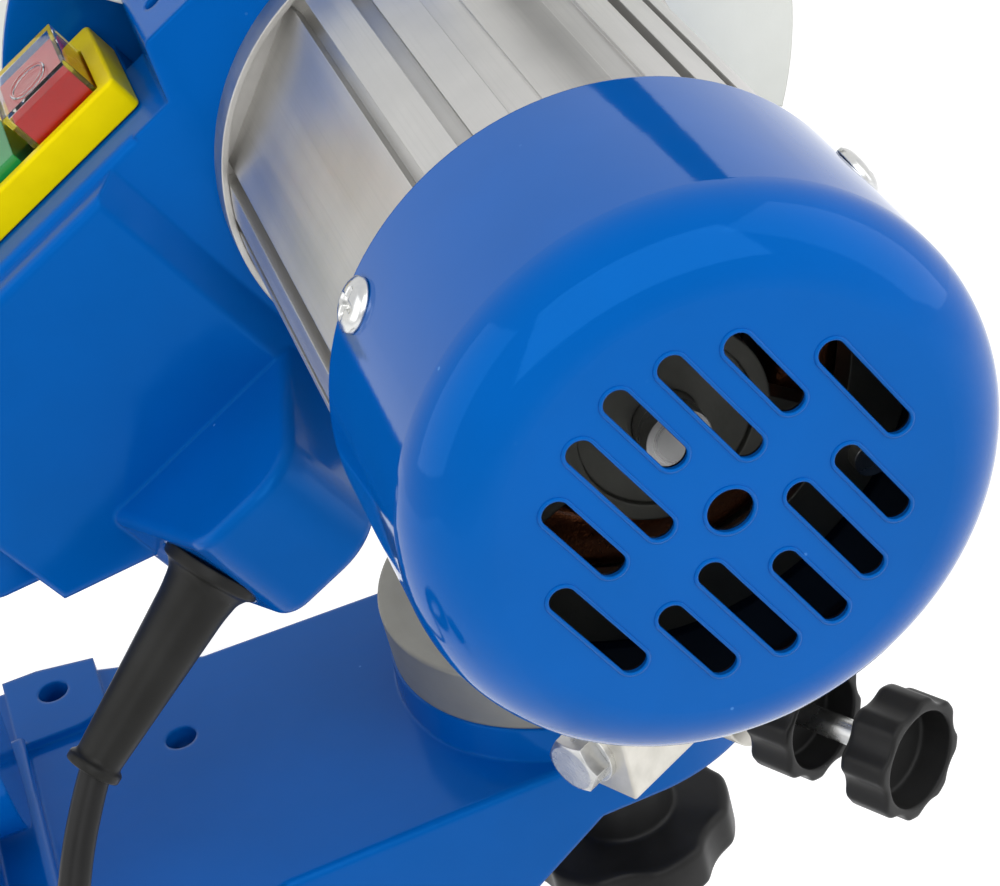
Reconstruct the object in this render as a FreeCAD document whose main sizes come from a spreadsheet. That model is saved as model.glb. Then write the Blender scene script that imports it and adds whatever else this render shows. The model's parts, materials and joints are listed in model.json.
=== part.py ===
import FreeCAD, Part
import math
import os
import Sketcher

# Bench sharpener for chainsaw chains, in millimetres and degrees.
# X runs along the motor shaft, with the motor towards -X and the wheel guard towards +X.
# Y runs backwards from the operator, with 0 on the row of rear bench bolts.
# Z is height above the bench, with 0 on the seat of the bracket.
# The head has a frame of its own with its origin on the shaft in the plane of the wheel: y along the
# arm to the hinge, z square to it. The vise has one on the pedestal: x along the chain, y to the rear.

SIZES = {
    # Fits and cuts
    "running_gap": 0.05,
    "seat_gap": 0.3,
    "overrun": 5,
    # Bench bracket
    "plate_top": 12,
    "plate_thickness": 8,
    "skirt_wall": 6,
    "pedestal_forward": 136,
    "nose_radius": 48.5,
    "waist_half_width": 51,
    "waist_forward": 42,
    "flare_half_width": 64,
    "flare_forward": 10,
    "foot_half_width": 67.5,
    "foot_front": 3,
    "foot_rear": 46,
    "foot_corner_radius": 12,
    "nose_skirt_depth": 7,
    "skirt_slope_forward": 122,
    "bench_stop_forward": 52,
    "bench_stop_depth": 50,
    "plate_edge_radius": 2,
    "bench_hole_radius": 4.25,
    "bench_hole_half_spacing": 55.5,
    "front_hole_across": 18.9,
    "front_hole_forward": 28.9,
    "pad_height": 2.5,
    "pad_inner": 37,
    "pad_forward": 13,
    "pad_corner_radius": 10,
    "ring_foot_radius": 49.5,
    "ring_top_radius": 48.6,
    "ring_height": 10,
    "plinth_half_width": 38,
    "plinth_front": 10.5,
    "plinth_height": 6,
    "plinth_radius": 3,
    "upright_front": 23,
    "upright_thickness": 18,
    "tilt_radius": 34,
    "tilt_height": 60,
    # Vise pedestal and its lock
    "vise_yaw_angle": 30,
    "turntable_radius": 48.1,
    "turntable_height": 16,
    "turntable_chamfer": 1,
    "spigot_radius": 15,
    "spigot_depth": 8,
    "lock_stud_radius": 5,
    "lock_stud_drop": 60,
    "lock_stud_grip": 12,
    "lock_hole_slack": 1.2,
    "lock_knob_radius": 29.5,
    "lock_knob_top": 51.5,
    "lock_knob_thickness": 14,
    "lock_knob_hub_radius": 14,
    "lock_knob_valley": 2.4,
    "lock_knob_scallop_radius": 15.5,
    "lock_knob_edge": 2,
    "lock_knob_lobes": 6,
    "lock_knob_turn_angle": 12.4,
    # Vise body and jaws
    "slab_half_length": 42,
    "slab_front": 26,
    "slab_rear": 15,
    "slab_height": 8,
    "slab_corner_radius": 6,
    "jaw_half_length": 38,
    "jaw_thickness": 4,
    "jaw_height": 12,
    "chain_half_gap": 0.9,
    "wall_height": 9,
    "front_wall_half_length": 18,
    "front_wall_thickness": 8,
    "front_wall_height": 12,
    "jaw_screw_spacing": 52,
    "jaw_screw_radius": 2,
    "jaw_screw_head_radius": 4,
    "jaw_screw_head_height": 2.5,
    "jaw_screw_height": 5,
    "jaw_screw_bite": 3,
    "guide_pin_radius": 2,
    "guide_pin_spacing": 24,
    "guide_pin_end": 24,
    "clamp_height": 6,
    "clamp_screw_radius": 3.5,
    "clamp_hub_near": 50,
    "clamp_hub_length": 12,
    "clamp_hub_radius": 7,
    "lever_radius": 3,
    "lever_length": 45,
    "lever_ball_radius": 6.5,
    "lever_droop_angle": 20,
    # Chain stop
    "lug_near": 48.5,
    "lug_far": 63,
    "lug_front": 14,
    "lug_rear": 10,
    "lug_bottom": 26,
    "block_near": 48.3,
    "block_far": 65.7,
    "block_rear": 50,
    "block_bottom": 24,
    "block_top": 52,
    "block_edge": 1,
    "boss_radius": 12,
    "boss_end": 85,
    "stop_rod_across": 22.2,
    "stop_rod_height": 42.5,
    "stop_rod_radius": 3,
    "stop_rod_inner_end": 16,
    "bolt_along": 53.4,
    "bolt_height": 34.6,
    "bolt_radius": 4,
    "bolt_flats": 13,
    "bolt_head_height": 5.4,
    "bolt_reach": 8,
    "washer_radius": 8,
    "washer_thickness": 1.6,
    "small_knob_radius": 14.7,
    "small_knob_bore_radius": 11.2,
    "small_knob_length": 12,
    "small_knob_floor": 4,
    "lock_knob_hub": 8,
    "small_knob_scallop_radius": 5,
    "small_knob_valley": 1.6,
    "small_knob_lobes": 8,
    "lock_knob_rim": 103.4,
    "adjust_knob_rim": 130,
    "adjust_knob_grip": 9,
    "slide_near": 19,
    "slide_length": 16,
    "slide_rear": 29,
    "slide_height": 12,
    "ear_height": 27,
    "ear_length": 8,
    "ear_front": 16,
    "ear_rear": 24,
    "pawl_along": 27,
    "pawl_height": 3.5,
    "pawl_pin_radius": 2,
    "pawl_hub_radius": 3.3,
    "pawl_half_width": 3,
    "pawl_tip": 8,
    "pawl_thickness": 4,
    # Tilting bracket
    "tilt_disc_front": 12,
    "tilt_stud_radius": 6,
    "tilt_stud_recess": 2,
    "tilt_knob_radius": 22,
    "tilt_knob_thickness": 16,
    "tilt_knob_hub": 6,
    "tilt_knob_hub_radius": 11,
    "tilt_knob_valley": 4,
    "tilt_knob_scallop_radius": 9,
    "tilt_knob_lobes": 6,
    "tilt_knob_edge": 2,
    "neck_half_width": 24,
    "neck_rise": 10,
    "neck_shoulder_drop": 32.6,
    "neck_top_drop": 22.6,
    "ear_plate_near": 30.3,
    "ear_plate_far": 42,
    "ear_plate_radius": 15,
    "hinge_rear": 28.2,
    "hinge_height": 140.6,
    "pin_radius": 5,
    "pin_head_radius": 7.5,
    "pin_head_height": 2.7,
    "clip_radius": 8,
    "clip_thickness": 1.4,
    "clip_groove_depth": 0.8,
    "spring_wire_radius": 1.5,
    "spring_radius": 9.5,
    "spring_pitch": 3.6,
    "spring_turns": 4,
    "spring_start": 10.5,
    "spring_leg": 34,
    "spring_bend_radius": 3.5,
    "depth_screw_radius": 4,
    "depth_screw_across": 12,
    "depth_screw_drop": 28.6,
    "depth_screw_tip": 8.1,
    "depth_knob_near": 30,
    "depth_knob_length": 12,
    "depth_knob_radius": 11,
    "depth_knob_lobes": 8,
    "depth_knob_scallop_radius": 4,
    "depth_knob_valley": 1.2,
    # Head: the arm casting
    "arm_slope_angle": 27.3,
    "hinge_along": 162,
    "hinge_above": 31,
    "arm_side": 48,
    "panel_side": 54,
    "arm_right": 4.5,
    "arm_front_right": 20,
    "arm_box_front": 41,
    "arm_box_rear": 145.5,
    "arm_top": 50.6,
    "arm_rear_bottom": 4.8,
    "arm_mid_along": 60,
    "arm_mid_bottom": 38.7,
    "arm_front_bottom": 46,
    "arm_corner_radius": 6,
    "rear_wall_left": 5.4,
    "rear_wall_bore": 26,
    "arm_disc_margin": 0.9,
    "panel_ramp_start": 54,
    "panel_ramp_end": 60,
    "panel_rear": 132.4,
    "panel_top": 49,
    "panel_front_bottom": 43.6,
    "panel_rear_bottom": 13.5,
    "block_v_top": 63.3,
    "block_v_front": 32,
    "block_v_rear_foot": 36,
    "block_v_rear_top": 30.5,
    "block_v_foot": 40,
    "block_v_radius": 2,
    "tapped_hole_radius": 2.1,
    "tapped_hole_depth": 8,
    "tapped_hole_along": 24.7,
    "tapped_hole_side": 35.4,
    "nose_top": 6,
    "nose_bottom": 35,
    "nose_root": 50,
    "nose_front_root": 56.5,
    "nose_front_tip": 68.5,
    "nose_reach": 89,
    "nose_rear_tip": 93.5,
    "nose_rear_root": 113,
    "nose_front_radius": 13,
    "nose_rear_radius": 8,
    "nose_edge_radius": 2.5,
    "cast_edge": 2,
    "hub_radius": 14,
    "hub_left": 30,
    "hub_right": 6,
    "web_front": 140,
    "web_front_drop": 23,
    "lug_for_spring_right": 14,
    "lug_for_spring_front": 126,
    "lug_for_spring_rear": 138,
    "cavity_wall": 4.5,
    "cavity_gap": 0.5,
    "cavity_floor": 10,
    "duct_front": 72,
    "duct_rear": 92,
    "duct_top": 8,
    "duct_bottom": 28,
    "duct_side": 80,
    # Head: the motor
    "flange_clearance": 0.1,
    "flange_wall": 1.4,
    "flange_depth": 7,
    "flange_floor": 2,
    "flange_opening_inset": 15.6,
    "body_radius": 50.1,
    "body_wall": 7.1,
    "body_flat_drop": 4.4,
    "body_rear": 160,
    "body_flat_angle": 26.3,
    "body_groove_width": 3.2,
    "body_groove_depth": 5,
    "body_outer_groove_angle": 36.8,
    "body_inner_groove_angle": 24.6,
    "body_recess_angle": 11,
    "body_recess_width": 6.2,
    "body_recess_depth": 0.8,
    "cap_face": 204,
    "cap_length": 55.4,
    "cap_clearance": 0.9,
    "cap_wall": 1.6,
    "cap_rounding": 13,
    "slot_half_width": 2.75,
    "slot_column_pitch": 9.7,
    "slot_short": 20.2,
    "slot_long": 26.7,
    "slot_side": 24.5,
    "slot_centre_rise": 23.2,
    "slot_next_rise": 17.8,
    "slot_third_rise": 15.6,
    "cap_hole_radius": 4.4,
    "cap_screw_from_rim": 5.8,
    "cap_screw_angle": 27,
    "cap_screw_radius": 2.4,
    "cap_screw_head_radius": 5,
    "cap_screw_head_height": 2.2,
    "cap_screw_head_rounding": 1.3,
    "cap_screw_clear": 0.5,
    "bracket_ring_width": 12.1,
    "bracket_thickness": 6,
    "bracket_hub_radius": 19,
    "bracket_hub_length": 15,
    "bracket_arm_half_width": 6,
    "bearing_radius": 16,
    "bearing_width": 10,
    "front_bearing_at": 44,
    "rear_bearing_at": 174,
    "shaft_radius": 6,
    "shaft_thick_radius": 8,
    "shaft_thick_left": 160,
    "shaft_thick_right": 50,
    "shaft_rear_end": 181,
    "shaft_front_end": 18.5,
    "stator_left": 148,
    "stator_right": 80,
    "stator_depth": 18,
    "rotor_gap": 0.5,
    "winding_outer_inset": 3,
    "winding_inner_inset": 2,
    "winding_length": 10,
    "winding_edge": 3,
    "tie_bolt_radius": 2,
    "tie_bolt_inset": 4,
    "tie_bolt_head_radius": 3.5,
    "tie_bolt_head_height": 3,
    "tie_bolt_end": 40,
    # Head: the wheel
    "wheel_radius": 72.5,
    "wheel_thickness": 3.2,
    "wheel_bore_radius": 11.15,
    "flange_disc_radius": 20,
    "inner_flange_length": 10.4,
    "outer_flange_length": 4.4,
    "flange_spigot_length": 3,
    "nut_flats": 19,
    "nut_length": 9,
    # Head: the guard
    "guard_radius": 88.8,
    "guard_wall": 2.5,
    "guard_depth": 40,
    "guard_front_angle": 141,
    "guard_plate_angle": 27,
    "guard_rear_angle": 100,
    "guard_rim_left": 3.5,
    "guard_hole_radius": 24,
    "guard_far": 150,
    "post_radius": 4,
    "post_circle": 81.5,
    "post_spread_angle": 62,
    "post_first_angle": 128,
    "guard_screw_radius": 1.9,
    "guard_screw_head_radius": 3.8,
    "guard_screw_head_height": 2.2,
    "guard_screw_length": 12,
    "plate_disc_radius": 40,
    "plate_screw_angle": 60,
    "plate_screw_inset": 20.5,
    "plate_screw_radius": 2.5,
    "plate_screw_head_radius": 4.2,
    "plate_screw_head_height": 2.4,
    "plate_screw_bite": 9,
    # Head: the switch
    "gasket_thickness": 0.5,
    "gasket_inset": 1.5,
    "bezel_left": 39.2,
    "bezel_right": 7.2,
    "bezel_front": 41.4,
    "bezel_rear": 105,
    "bezel_height": 8,
    "bezel_corner": 1.5,
    "bezel_edge": 0.8,
    "bezel_opening_left": 36.9,
    "bezel_opening_right": 15.6,
    "bezel_opening_front": 45.2,
    "bezel_opening_rear": 100,
    "switch_face_rise": 2,
    "switch_depth": 38,
    "button_travel": 2,
    "button_left": 35.5,
    "button_right": 17,
    "stop_button_length": 18,
    "start_button_front": 67.5,
    "button_length": 18,
    "button_foot": 4.5,
    "stop_button_height": 13,
    "cap_box_height": 15.7,
    "cap_box_wall": 1.1,
    "start_button_height": 8.5,
    "button_pocket_depth": 8,
    # Head: the handle
    "handle_across": 34,
    "handle_above": 57,
    "handle_rod_radius": 5,
    "handle_seat": 22,
    "handle_rod_end": 140,
    "grip_radius": 13,
    "grip_near": 60,
    "grip_far": 150,
    "grip_rounding": 6,
    # Power cord
    "relief_along": 101.7,
    "relief_across": 75,
    "relief_below": 21,
    "relief_swing_angle": 15.4,
    "relief_dip_angle": 8.9,
    "relief_length": 48,
    "relief_flange_radius": 11.2,
    "relief_flange_depth": 3,
    "relief_flange_step": 2,
    "relief_base_radius": 8,
    "relief_tip_radius": 5,
    "relief_ring_radius": 6.3,
    "relief_ring_length": 2,
    "relief_reach_in": 20,
    "cord_radius": 3.5,
    "cord_lead": 9,
    "coil_radius": 38.5,
    "coil_step": 7.5,
    "coil_lead": 7.2,
    "plug_lead": 30,
    "plug_half_width": 18,
    "plug_half_thickness": 10.9,
    "plug_length": 38,
    "plug_tail": 16,
    "plug_tail_radius": 7,
    "plug_corner": 6,
    "pin_spacing": 19,
    "pin_length": 19,
    "plug_pin_radius": 2.4,
    "pin_seat": 6,
    "pin_tang_radius": 2,
}

# The cord's free stretch after its straight lead, as far as the coil, as points chosen by hand.
CORD_ROUTE = [
    (-93.4, 0.9, 82.8),
    (-98.8, 6.3, 73.6),
    (-106.2, 12.8, 60.9),
    (-114.5, 22.6, 45.6),
    (-121.4, 36.3, 31.3),
    (-126.2, 53.9, 19.0),
    (-127.9, 74.0, 10.0),
    (-127.2, 95.4, 5.1),
    (-125.1, 114.7, 3.6),
    (-122.6, 132.6, 3.6),
]
CORD_RUN_SHARE = 0.45
COIL_TURNS_PER_LAYER = 3
FULL_TURN = 360
QUARTER_TURN = FULL_TURN / 4


class Size:
    """A size, or a sum of sizes: its number, and the sheet expression that gives that number."""

    def __init__(self, number, text):
        self.number = number
        self.text = text

    def __add__(self, other):
        return joined(self, "+", other, self.number + as_size(other).number)

    def __radd__(self, other):
        return as_size(other) + self

    def __sub__(self, other):
        return joined(self, "-", other, self.number - as_size(other).number)

    def __rsub__(self, other):
        return as_size(other) - self

    def __mul__(self, other):
        return joined(self, "*", other, self.number * as_size(other).number)

    def __rmul__(self, other):
        return as_size(other) * self

    def __truediv__(self, other):
        return joined(self, "/", other, self.number / as_size(other).number)

    def __rtruediv__(self, other):
        return as_size(other) / self

    def __neg__(self):
        return Size(-self.number, f"(-{self.text})")


def as_size(value):
    return value if isinstance(value, Size) else Size(float(value), repr(float(value)))


def joined(first, sign, second, number):
    return Size(number, f"({first.text} {sign} {as_size(second).text})")


def cosine(angle):
    return Size(math.cos(math.radians(angle.number)), f"cos({angle.text})")


def sine(angle):
    return Size(math.sin(math.radians(angle.number)), f"sin({angle.text})")


class Sheet:
    """The spreadsheet of driving sizes, read as attributes."""

    def __init__(self, document):
        cells = document.addObject("Spreadsheet::Sheet", "Sizes")
        for row, (name, value) in enumerate(SIZES.items(), start=1):
            cells.set(f"A{row}", name)
            cells.set(f"B{row}", str(value))
            cells.setAlias(f"B{row}", name)

    def __getattr__(self, name):
        return Size(float(SIZES[name]), f"Sizes.{name}")


doc = FreeCAD.newDocument("ChainSharpener")
mm = Sheet(doc)
doc.recompute()

nodes = {}
own_places = {}


# Places

def vector(x, y, z):
    return f"vector({as_size(x).text}; {as_size(y).text}; {as_size(z).text})"


def place(x, y, z, axis=(0, 0, 1), angle=0):
    turn = f"rotation(vector({axis[0]}; {axis[1]}; {axis[2]}); {as_size(angle).text})"
    return f"placement({vector(x, y, z)}; {turn})"


def placed(item, text):
    item.setExpression("Placement", text)
    own_places[item.Name] = text
    return item


def along(axis, centre, start, quarter_turn):
    """The place of a solid that stands on its local axis, laid along X, Y or Z."""
    first, second = centre
    if axis == "X":
        return place(start, first, second, *quarter_turn["X"])
    if axis == "Y":
        return place(first, start, second, *quarter_turn["Y"])
    return place(first, second, start, *quarter_turn["Z"])


FROM_Z = {"X": ((0, 1, 0), QUARTER_TURN), "Y": ((1, 0, 0), -QUARTER_TURN), "Z": ((0, 0, 1), 0)}
FROM_Y = {"X": ((0, 0, 1), -QUARTER_TURN), "Y": ((0, 0, 1), 0), "Z": ((1, 0, 0), QUARTER_TURN)}

slope_sine = sine(mm.arm_slope_angle)
slope_cosine = cosine(mm.arm_slope_angle)
head_y = mm.hinge_rear - mm.hinge_along * slope_cosine - mm.hinge_above * slope_sine
head_z = mm.hinge_height + mm.hinge_along * slope_sine - mm.hinge_above * slope_cosine
HEAD = place(0, head_y, head_z, (1, 0, 0), -mm.arm_slope_angle)
VISE = place(0, -mm.pedestal_forward, 0, (0, 0, 1), mm.vise_yaw_angle)


# Solids

def made(kind, name, **sizes):
    item = doc.addObject(kind, name)
    for size_name, value in sizes.items():
        item.setExpression(size_name, as_size(value).text)
    return item


def box(x, y, z):
    """A box between two places on each axis."""
    item = made("Part::Box", "Box", Length=x[1] - x[0], Width=y[1] - y[0], Height=z[1] - z[0])
    return placed(item, place(x[0], y[0], z[0]))


def rod(axis, centre, radius, start, end):
    """A cylinder along an axis, its centre in the other two, which keep their order X, Y, Z."""
    item = made("Part::Cylinder", "Rod", Radius=radius, Height=end - start)
    return placed(item, along(axis, centre, start, FROM_Z))


def ring(axis, centre, radius, bore, start, end):
    outer = rod(axis, centre, radius, start, end)
    return cut(outer, rod(axis, centre, bore, start - mm.overrun, end + mm.overrun))


def taper(axis, centre, start_radius, end_radius, start, end):
    item = made("Part::Cone", "Taper", Radius1=start_radius, Radius2=end_radius, Height=end - start)
    return placed(item, along(axis, centre, start, FROM_Z))


def ball(centre, radius):
    return placed(made("Part::Sphere", "Ball", Radius=radius), place(*centre))


def outline(corners):
    """A closed sketch through its corners, each (across, up) or (across, up, rounding radius)."""
    sketch = doc.addObject("Sketcher::SketchObject", "Outline")
    points = [FreeCAD.Vector(as_size(c[0]).number, as_size(c[1]).number, 0) for c in corners]
    count = len(points)
    for i in range(count):
        sketch.addGeometry(Part.LineSegment(points[i], points[(i + 1) % count]), False)
    for i in range(count):
        sketch.addConstraint(Sketcher.Constraint("Coincident", i, 2, (i + 1) % count, 1))
    for i in range(count):
        for kind, value in (("DistanceX", corners[i][0]), ("DistanceY", corners[i][1])):
            value = as_size(value)
            number = sketch.addConstraint(Sketcher.Constraint(kind, -1, 1, i, 1, value.number))
            sketch.setExpression(f"Constraints[{number}]", value.text)
    for i in range(count):
        if len(corners[i]) < 3:
            continue
        before, here, after = points[i - 1], points[i], points[(i + 1) % count]
        radius = as_size(corners[i][2])
        arc = sketch.GeometryCount
        sketch.fillet((i - 1) % count, i, (before + here) / 2, (here + after) / 2, radius.number, True, True)
        number = sketch.addConstraint(Sketcher.Constraint("Radius", arc, radius.number))
        sketch.setExpression(f"Constraints[{number}]", radius.text)
    return sketch


PLANES = {"XY": ((0, 0, 1), 0), "YZ": ((1, 1, 1), FULL_TURN / 3), "XZ": ((1, 0, 0), QUARTER_TURN)}


def prism(plane, corners, start, end):
    """An outline in a plane, as thick as from start to end along the third axis."""
    item = made("Part::Extrusion", "Prism", LengthFwd=end - start)
    item.Base = outline(corners)
    item.DirMode = "Custom"
    item.Dir = FreeCAD.Vector(0, 0, 1)
    item.Solid = True
    if plane == "XY":
        return placed(item, place(0, 0, start, *PLANES[plane]))
    if plane == "YZ":
        return placed(item, place(start, 0, 0, *PLANES[plane]))
    return placed(item, place(0, end, 0, *PLANES[plane]))


def turned(axis, centre, profile):
    """A profile of (radius, place along the axis) corners, turned about an axis."""
    item = doc.addObject("Part::Revolution", "Turned")
    item.Source = outline(profile)
    item.Axis = FreeCAD.Vector(0, 1, 0)
    item.Base = FreeCAD.Vector(0, 0, 0)
    item.Angle = FULL_TURN
    item.Solid = True
    return placed(item, along(axis, centre, 0, FROM_Y))


def fuse(*items):
    item = doc.addObject("Part::MultiFuse", "Joined")
    item.Shapes = list(items)
    return item


def cut(base, *tools):
    item = doc.addObject("Part::Cut", "Cut")
    item.Base = base
    item.Tool = tools[0] if len(tools) == 1 else fuse(*tools)
    return item


def common(*items):
    item = doc.addObject("Part::MultiCommon", "Shared")
    item.Shapes = list(items)
    return item


def rounded(base, radius, chosen):
    """The base with the edges that chosen picks rounded off."""
    doc.recompute()
    item = doc.addObject("Part::Fillet", "Rounded")
    item.Base = base
    edges = enumerate(base.Shape.Edges, start=1)
    item.Edges = [(number, radius.number, radius.number) for number, edge in edges if chosen(edge)]
    return item


def level(value, axis="Z"):
    """Picks the edges that lie wholly at one place on an axis."""
    def chosen(edge):
        box_of = edge.BoundBox
        low, high = getattr(box_of, axis + "Min"), getattr(box_of, axis + "Max")
        return abs(low - value.number) < SMALL and abs(high - value.number) < SMALL
    return chosen


SMALL = 0.01


def node(name, item, frame=None):
    """Names a finished piece, and moves it from its frame to the bench."""
    item.Label = name
    if frame:
        own = own_places.get(item.Name)
        item.setExpression("Placement", f"{frame} * {own}" if own else frame)
    nodes[name] = item


def around(count, first=0):
    """The directions of evenly spaced copies, starting at first."""
    return [as_size(first) + FULL_TURN / count * i for i in range(count)]


def lobed(axis, centre, radius, start, end, lobes, scallop, valley, first=0):
    """A round grip with scallops cut in its rim, down to valley below the lobes."""
    grip = rod(axis, centre, radius, start, end)
    cuts = []
    for turn in around(lobes, first):
        first = centre[0] + (radius + scallop - valley) * cosine(turn)
        second = centre[1] + (radius + scallop - valley) * sine(turn)
        cuts.append(rod(axis, (first, second), scallop, start - mm.overrun, end + mm.overrun))
    return cut(grip, *cuts)


def hexagon(axis, centre, flats, start, end):
    """A nut or bolt head across its flats."""
    circle = flats / 2 / cosine(as_size(FULL_TURN / 12))
    item = made("Part::Prism", "Hexagon", Circumradius=circle, Height=end - start)
    item.Polygon = 6
    return placed(item, along(axis, centre, start, FROM_Z))


# Bench bracket

y_pedestal = -mm.pedestal_forward
upright_rear = mm.upright_front + mm.upright_thickness
ring_top = mm.plate_top + mm.ring_height
turntable_top = ring_top + mm.turntable_height
x_hole = mm.bench_hole_half_spacing


def mirrored(right):
    """The corners of a symmetrical outline, from its right half listed front to back."""
    left = [(-corner[0], *corner[1:]) for corner in reversed(right)]
    return right + left


def make_base_bracket():
    plan = mirrored([
        (mm.nose_radius, y_pedestal),
        (mm.waist_half_width, -mm.waist_forward),
        (mm.flare_half_width, -mm.flare_forward),
        (mm.foot_half_width, mm.foot_front),
        (mm.foot_half_width, mm.foot_rear, mm.foot_corner_radius),
    ])
    bottom = -mm.bench_stop_depth
    top = mm.plate_top
    body = fuse(
        prism("XY", plan, bottom, top),
        rod("Z", (0, y_pedestal), mm.nose_radius, bottom, top),
    )
    body = rounded(body, mm.plate_edge_radius, level(top))
    front = y_pedestal - mm.nose_radius - mm.overrun
    stop_front = -(mm.bench_stop_forward + mm.skirt_wall)
    side = prism("YZ", [
        (front, top + mm.overrun),
        (front, -mm.nose_skirt_depth),
        (-mm.skirt_slope_forward, -mm.nose_skirt_depth),
        (stop_front, bottom),
        (-mm.bench_stop_forward, bottom),
        (-mm.bench_stop_forward, 0),
        (mm.foot_rear + mm.overrun, 0),
        (mm.foot_rear + mm.overrun, top + mm.overrun),
    ], -mm.foot_half_width - mm.overrun, mm.foot_half_width + mm.overrun)
    body = common(body, side)
    inner_nose = mm.nose_radius - mm.skirt_wall
    inner_waist = mm.waist_half_width - mm.skirt_wall
    pocket_top = top - mm.plate_thickness
    pocket = fuse(
        prism("XY", mirrored([(inner_nose, y_pedestal), (inner_waist, stop_front)]),
              bottom - mm.overrun, pocket_top),
        rod("Z", (0, y_pedestal), inner_nose, bottom - mm.overrun, pocket_top),
    )
    pad = [
        (mm.pad_inner, -mm.pad_forward, mm.pad_corner_radius),
        (mm.flare_half_width, -mm.pad_forward),
        (mm.foot_half_width, mm.foot_front),
        (mm.foot_half_width, mm.pad_forward),
        (mm.pad_inner, mm.pad_forward),
    ]
    other_pad = [(-corner[0], *corner[1:]) for corner in pad]
    pad_top = top + mm.pad_height
    pads = [prism("XY", shape, pocket_top, pad_top) for shape in (pad, other_pad)]
    plinth_top = top + mm.plinth_height
    plinth = box((-mm.plinth_half_width, mm.plinth_half_width), (mm.plinth_front, mm.foot_rear),
                 (pocket_top, plinth_top))
    plinth = rounded(plinth, mm.plinth_radius, level(plinth_top))
    upright = fuse(
        box((-mm.tilt_radius, mm.tilt_radius), (mm.upright_front, upright_rear),
            (pocket_top, mm.tilt_height)),
        rod("Y", (0, mm.tilt_height), mm.tilt_radius, mm.upright_front, upright_rear),
    )
    ring_foot = taper("Z", (0, y_pedestal), mm.ring_foot_radius, mm.ring_top_radius, top, ring_top)
    body = fuse(cut(body, pocket), *pads, plinth, upright, ring_foot)
    stud_hole = mm.lock_stud_radius + mm.lock_hole_slack
    tilt_bore = mm.tilt_stud_radius + mm.seat_gap
    holes = [
        rod("Z", (0, y_pedestal), mm.spigot_radius + mm.running_gap, ring_top - mm.spigot_depth,
            ring_top + mm.overrun),
        rod("Z", (0, y_pedestal), stud_hole, 0, ring_top),
        rod("Y", (0, mm.tilt_height), tilt_bore, mm.tilt_disc_front, upright_rear + mm.overrun),
        rod("Z", (mm.front_hole_across, -mm.front_hole_forward), mm.bench_hole_radius, -mm.overrun,
            pad_top + mm.overrun),
    ]
    for side_of in (-x_hole, x_hole):
        holes.append(rod("Z", (side_of, 0), mm.bench_hole_radius, -mm.overrun, pad_top + mm.overrun))
    node("base_bracket", cut(body, *holes))


# Vise pedestal: everything here turns with the turntable, in the vise's own frame

def make_pedestal():
    spigot_bottom = ring_top - mm.spigot_depth + mm.running_gap
    stud_top = ring_top + mm.lock_stud_grip
    table = turned("Z", (0, 0), [
        (0, spigot_bottom),
        (mm.spigot_radius, spigot_bottom),
        (mm.spigot_radius, ring_top),
        (mm.turntable_radius, ring_top),
        (mm.turntable_radius, turntable_top, mm.turntable_chamfer),
        (0, turntable_top),
    ])
    socket = rod("Z", (0, 0), mm.lock_stud_radius + mm.running_gap, spigot_bottom - mm.overrun, stud_top)
    node("vise_turntable", cut(table, socket), VISE)
    node("vise_lock_stud", rod("Z", (0, 0), mm.lock_stud_radius, -mm.lock_stud_drop, stud_top), VISE)
    knob_top = -mm.lock_knob_top
    knob_bottom = knob_top - mm.lock_knob_thickness
    knob = lobed("Z", (0, 0), mm.lock_knob_radius, knob_bottom, knob_top, SIZES["lock_knob_lobes"],
                 mm.lock_knob_scallop_radius, mm.lock_knob_valley, mm.lock_knob_turn_angle)
    knob = rounded(knob, mm.lock_knob_edge, lambda edge: level(as_size(knob_top))(edge)
                   or level(as_size(knob_bottom))(edge))
    hub_top = mm.plate_top - mm.plate_thickness - mm.running_gap
    hub = rod("Z", (0, 0), mm.lock_knob_hub_radius, knob_top - mm.lock_knob_edge, hub_top)
    bore = rod("Z", (0, 0), mm.lock_stud_radius + mm.running_gap, knob_bottom - mm.overrun,
               hub_top + mm.overrun)
    node("vise_lock_knob", cut(fuse(knob, hub), bore), VISE)


slab_top = turntable_top + mm.slab_height
jaw_top = slab_top + mm.jaw_height
jaw_back = mm.chain_half_gap + mm.jaw_thickness
clamp_z = slab_top + mm.clamp_height


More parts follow.
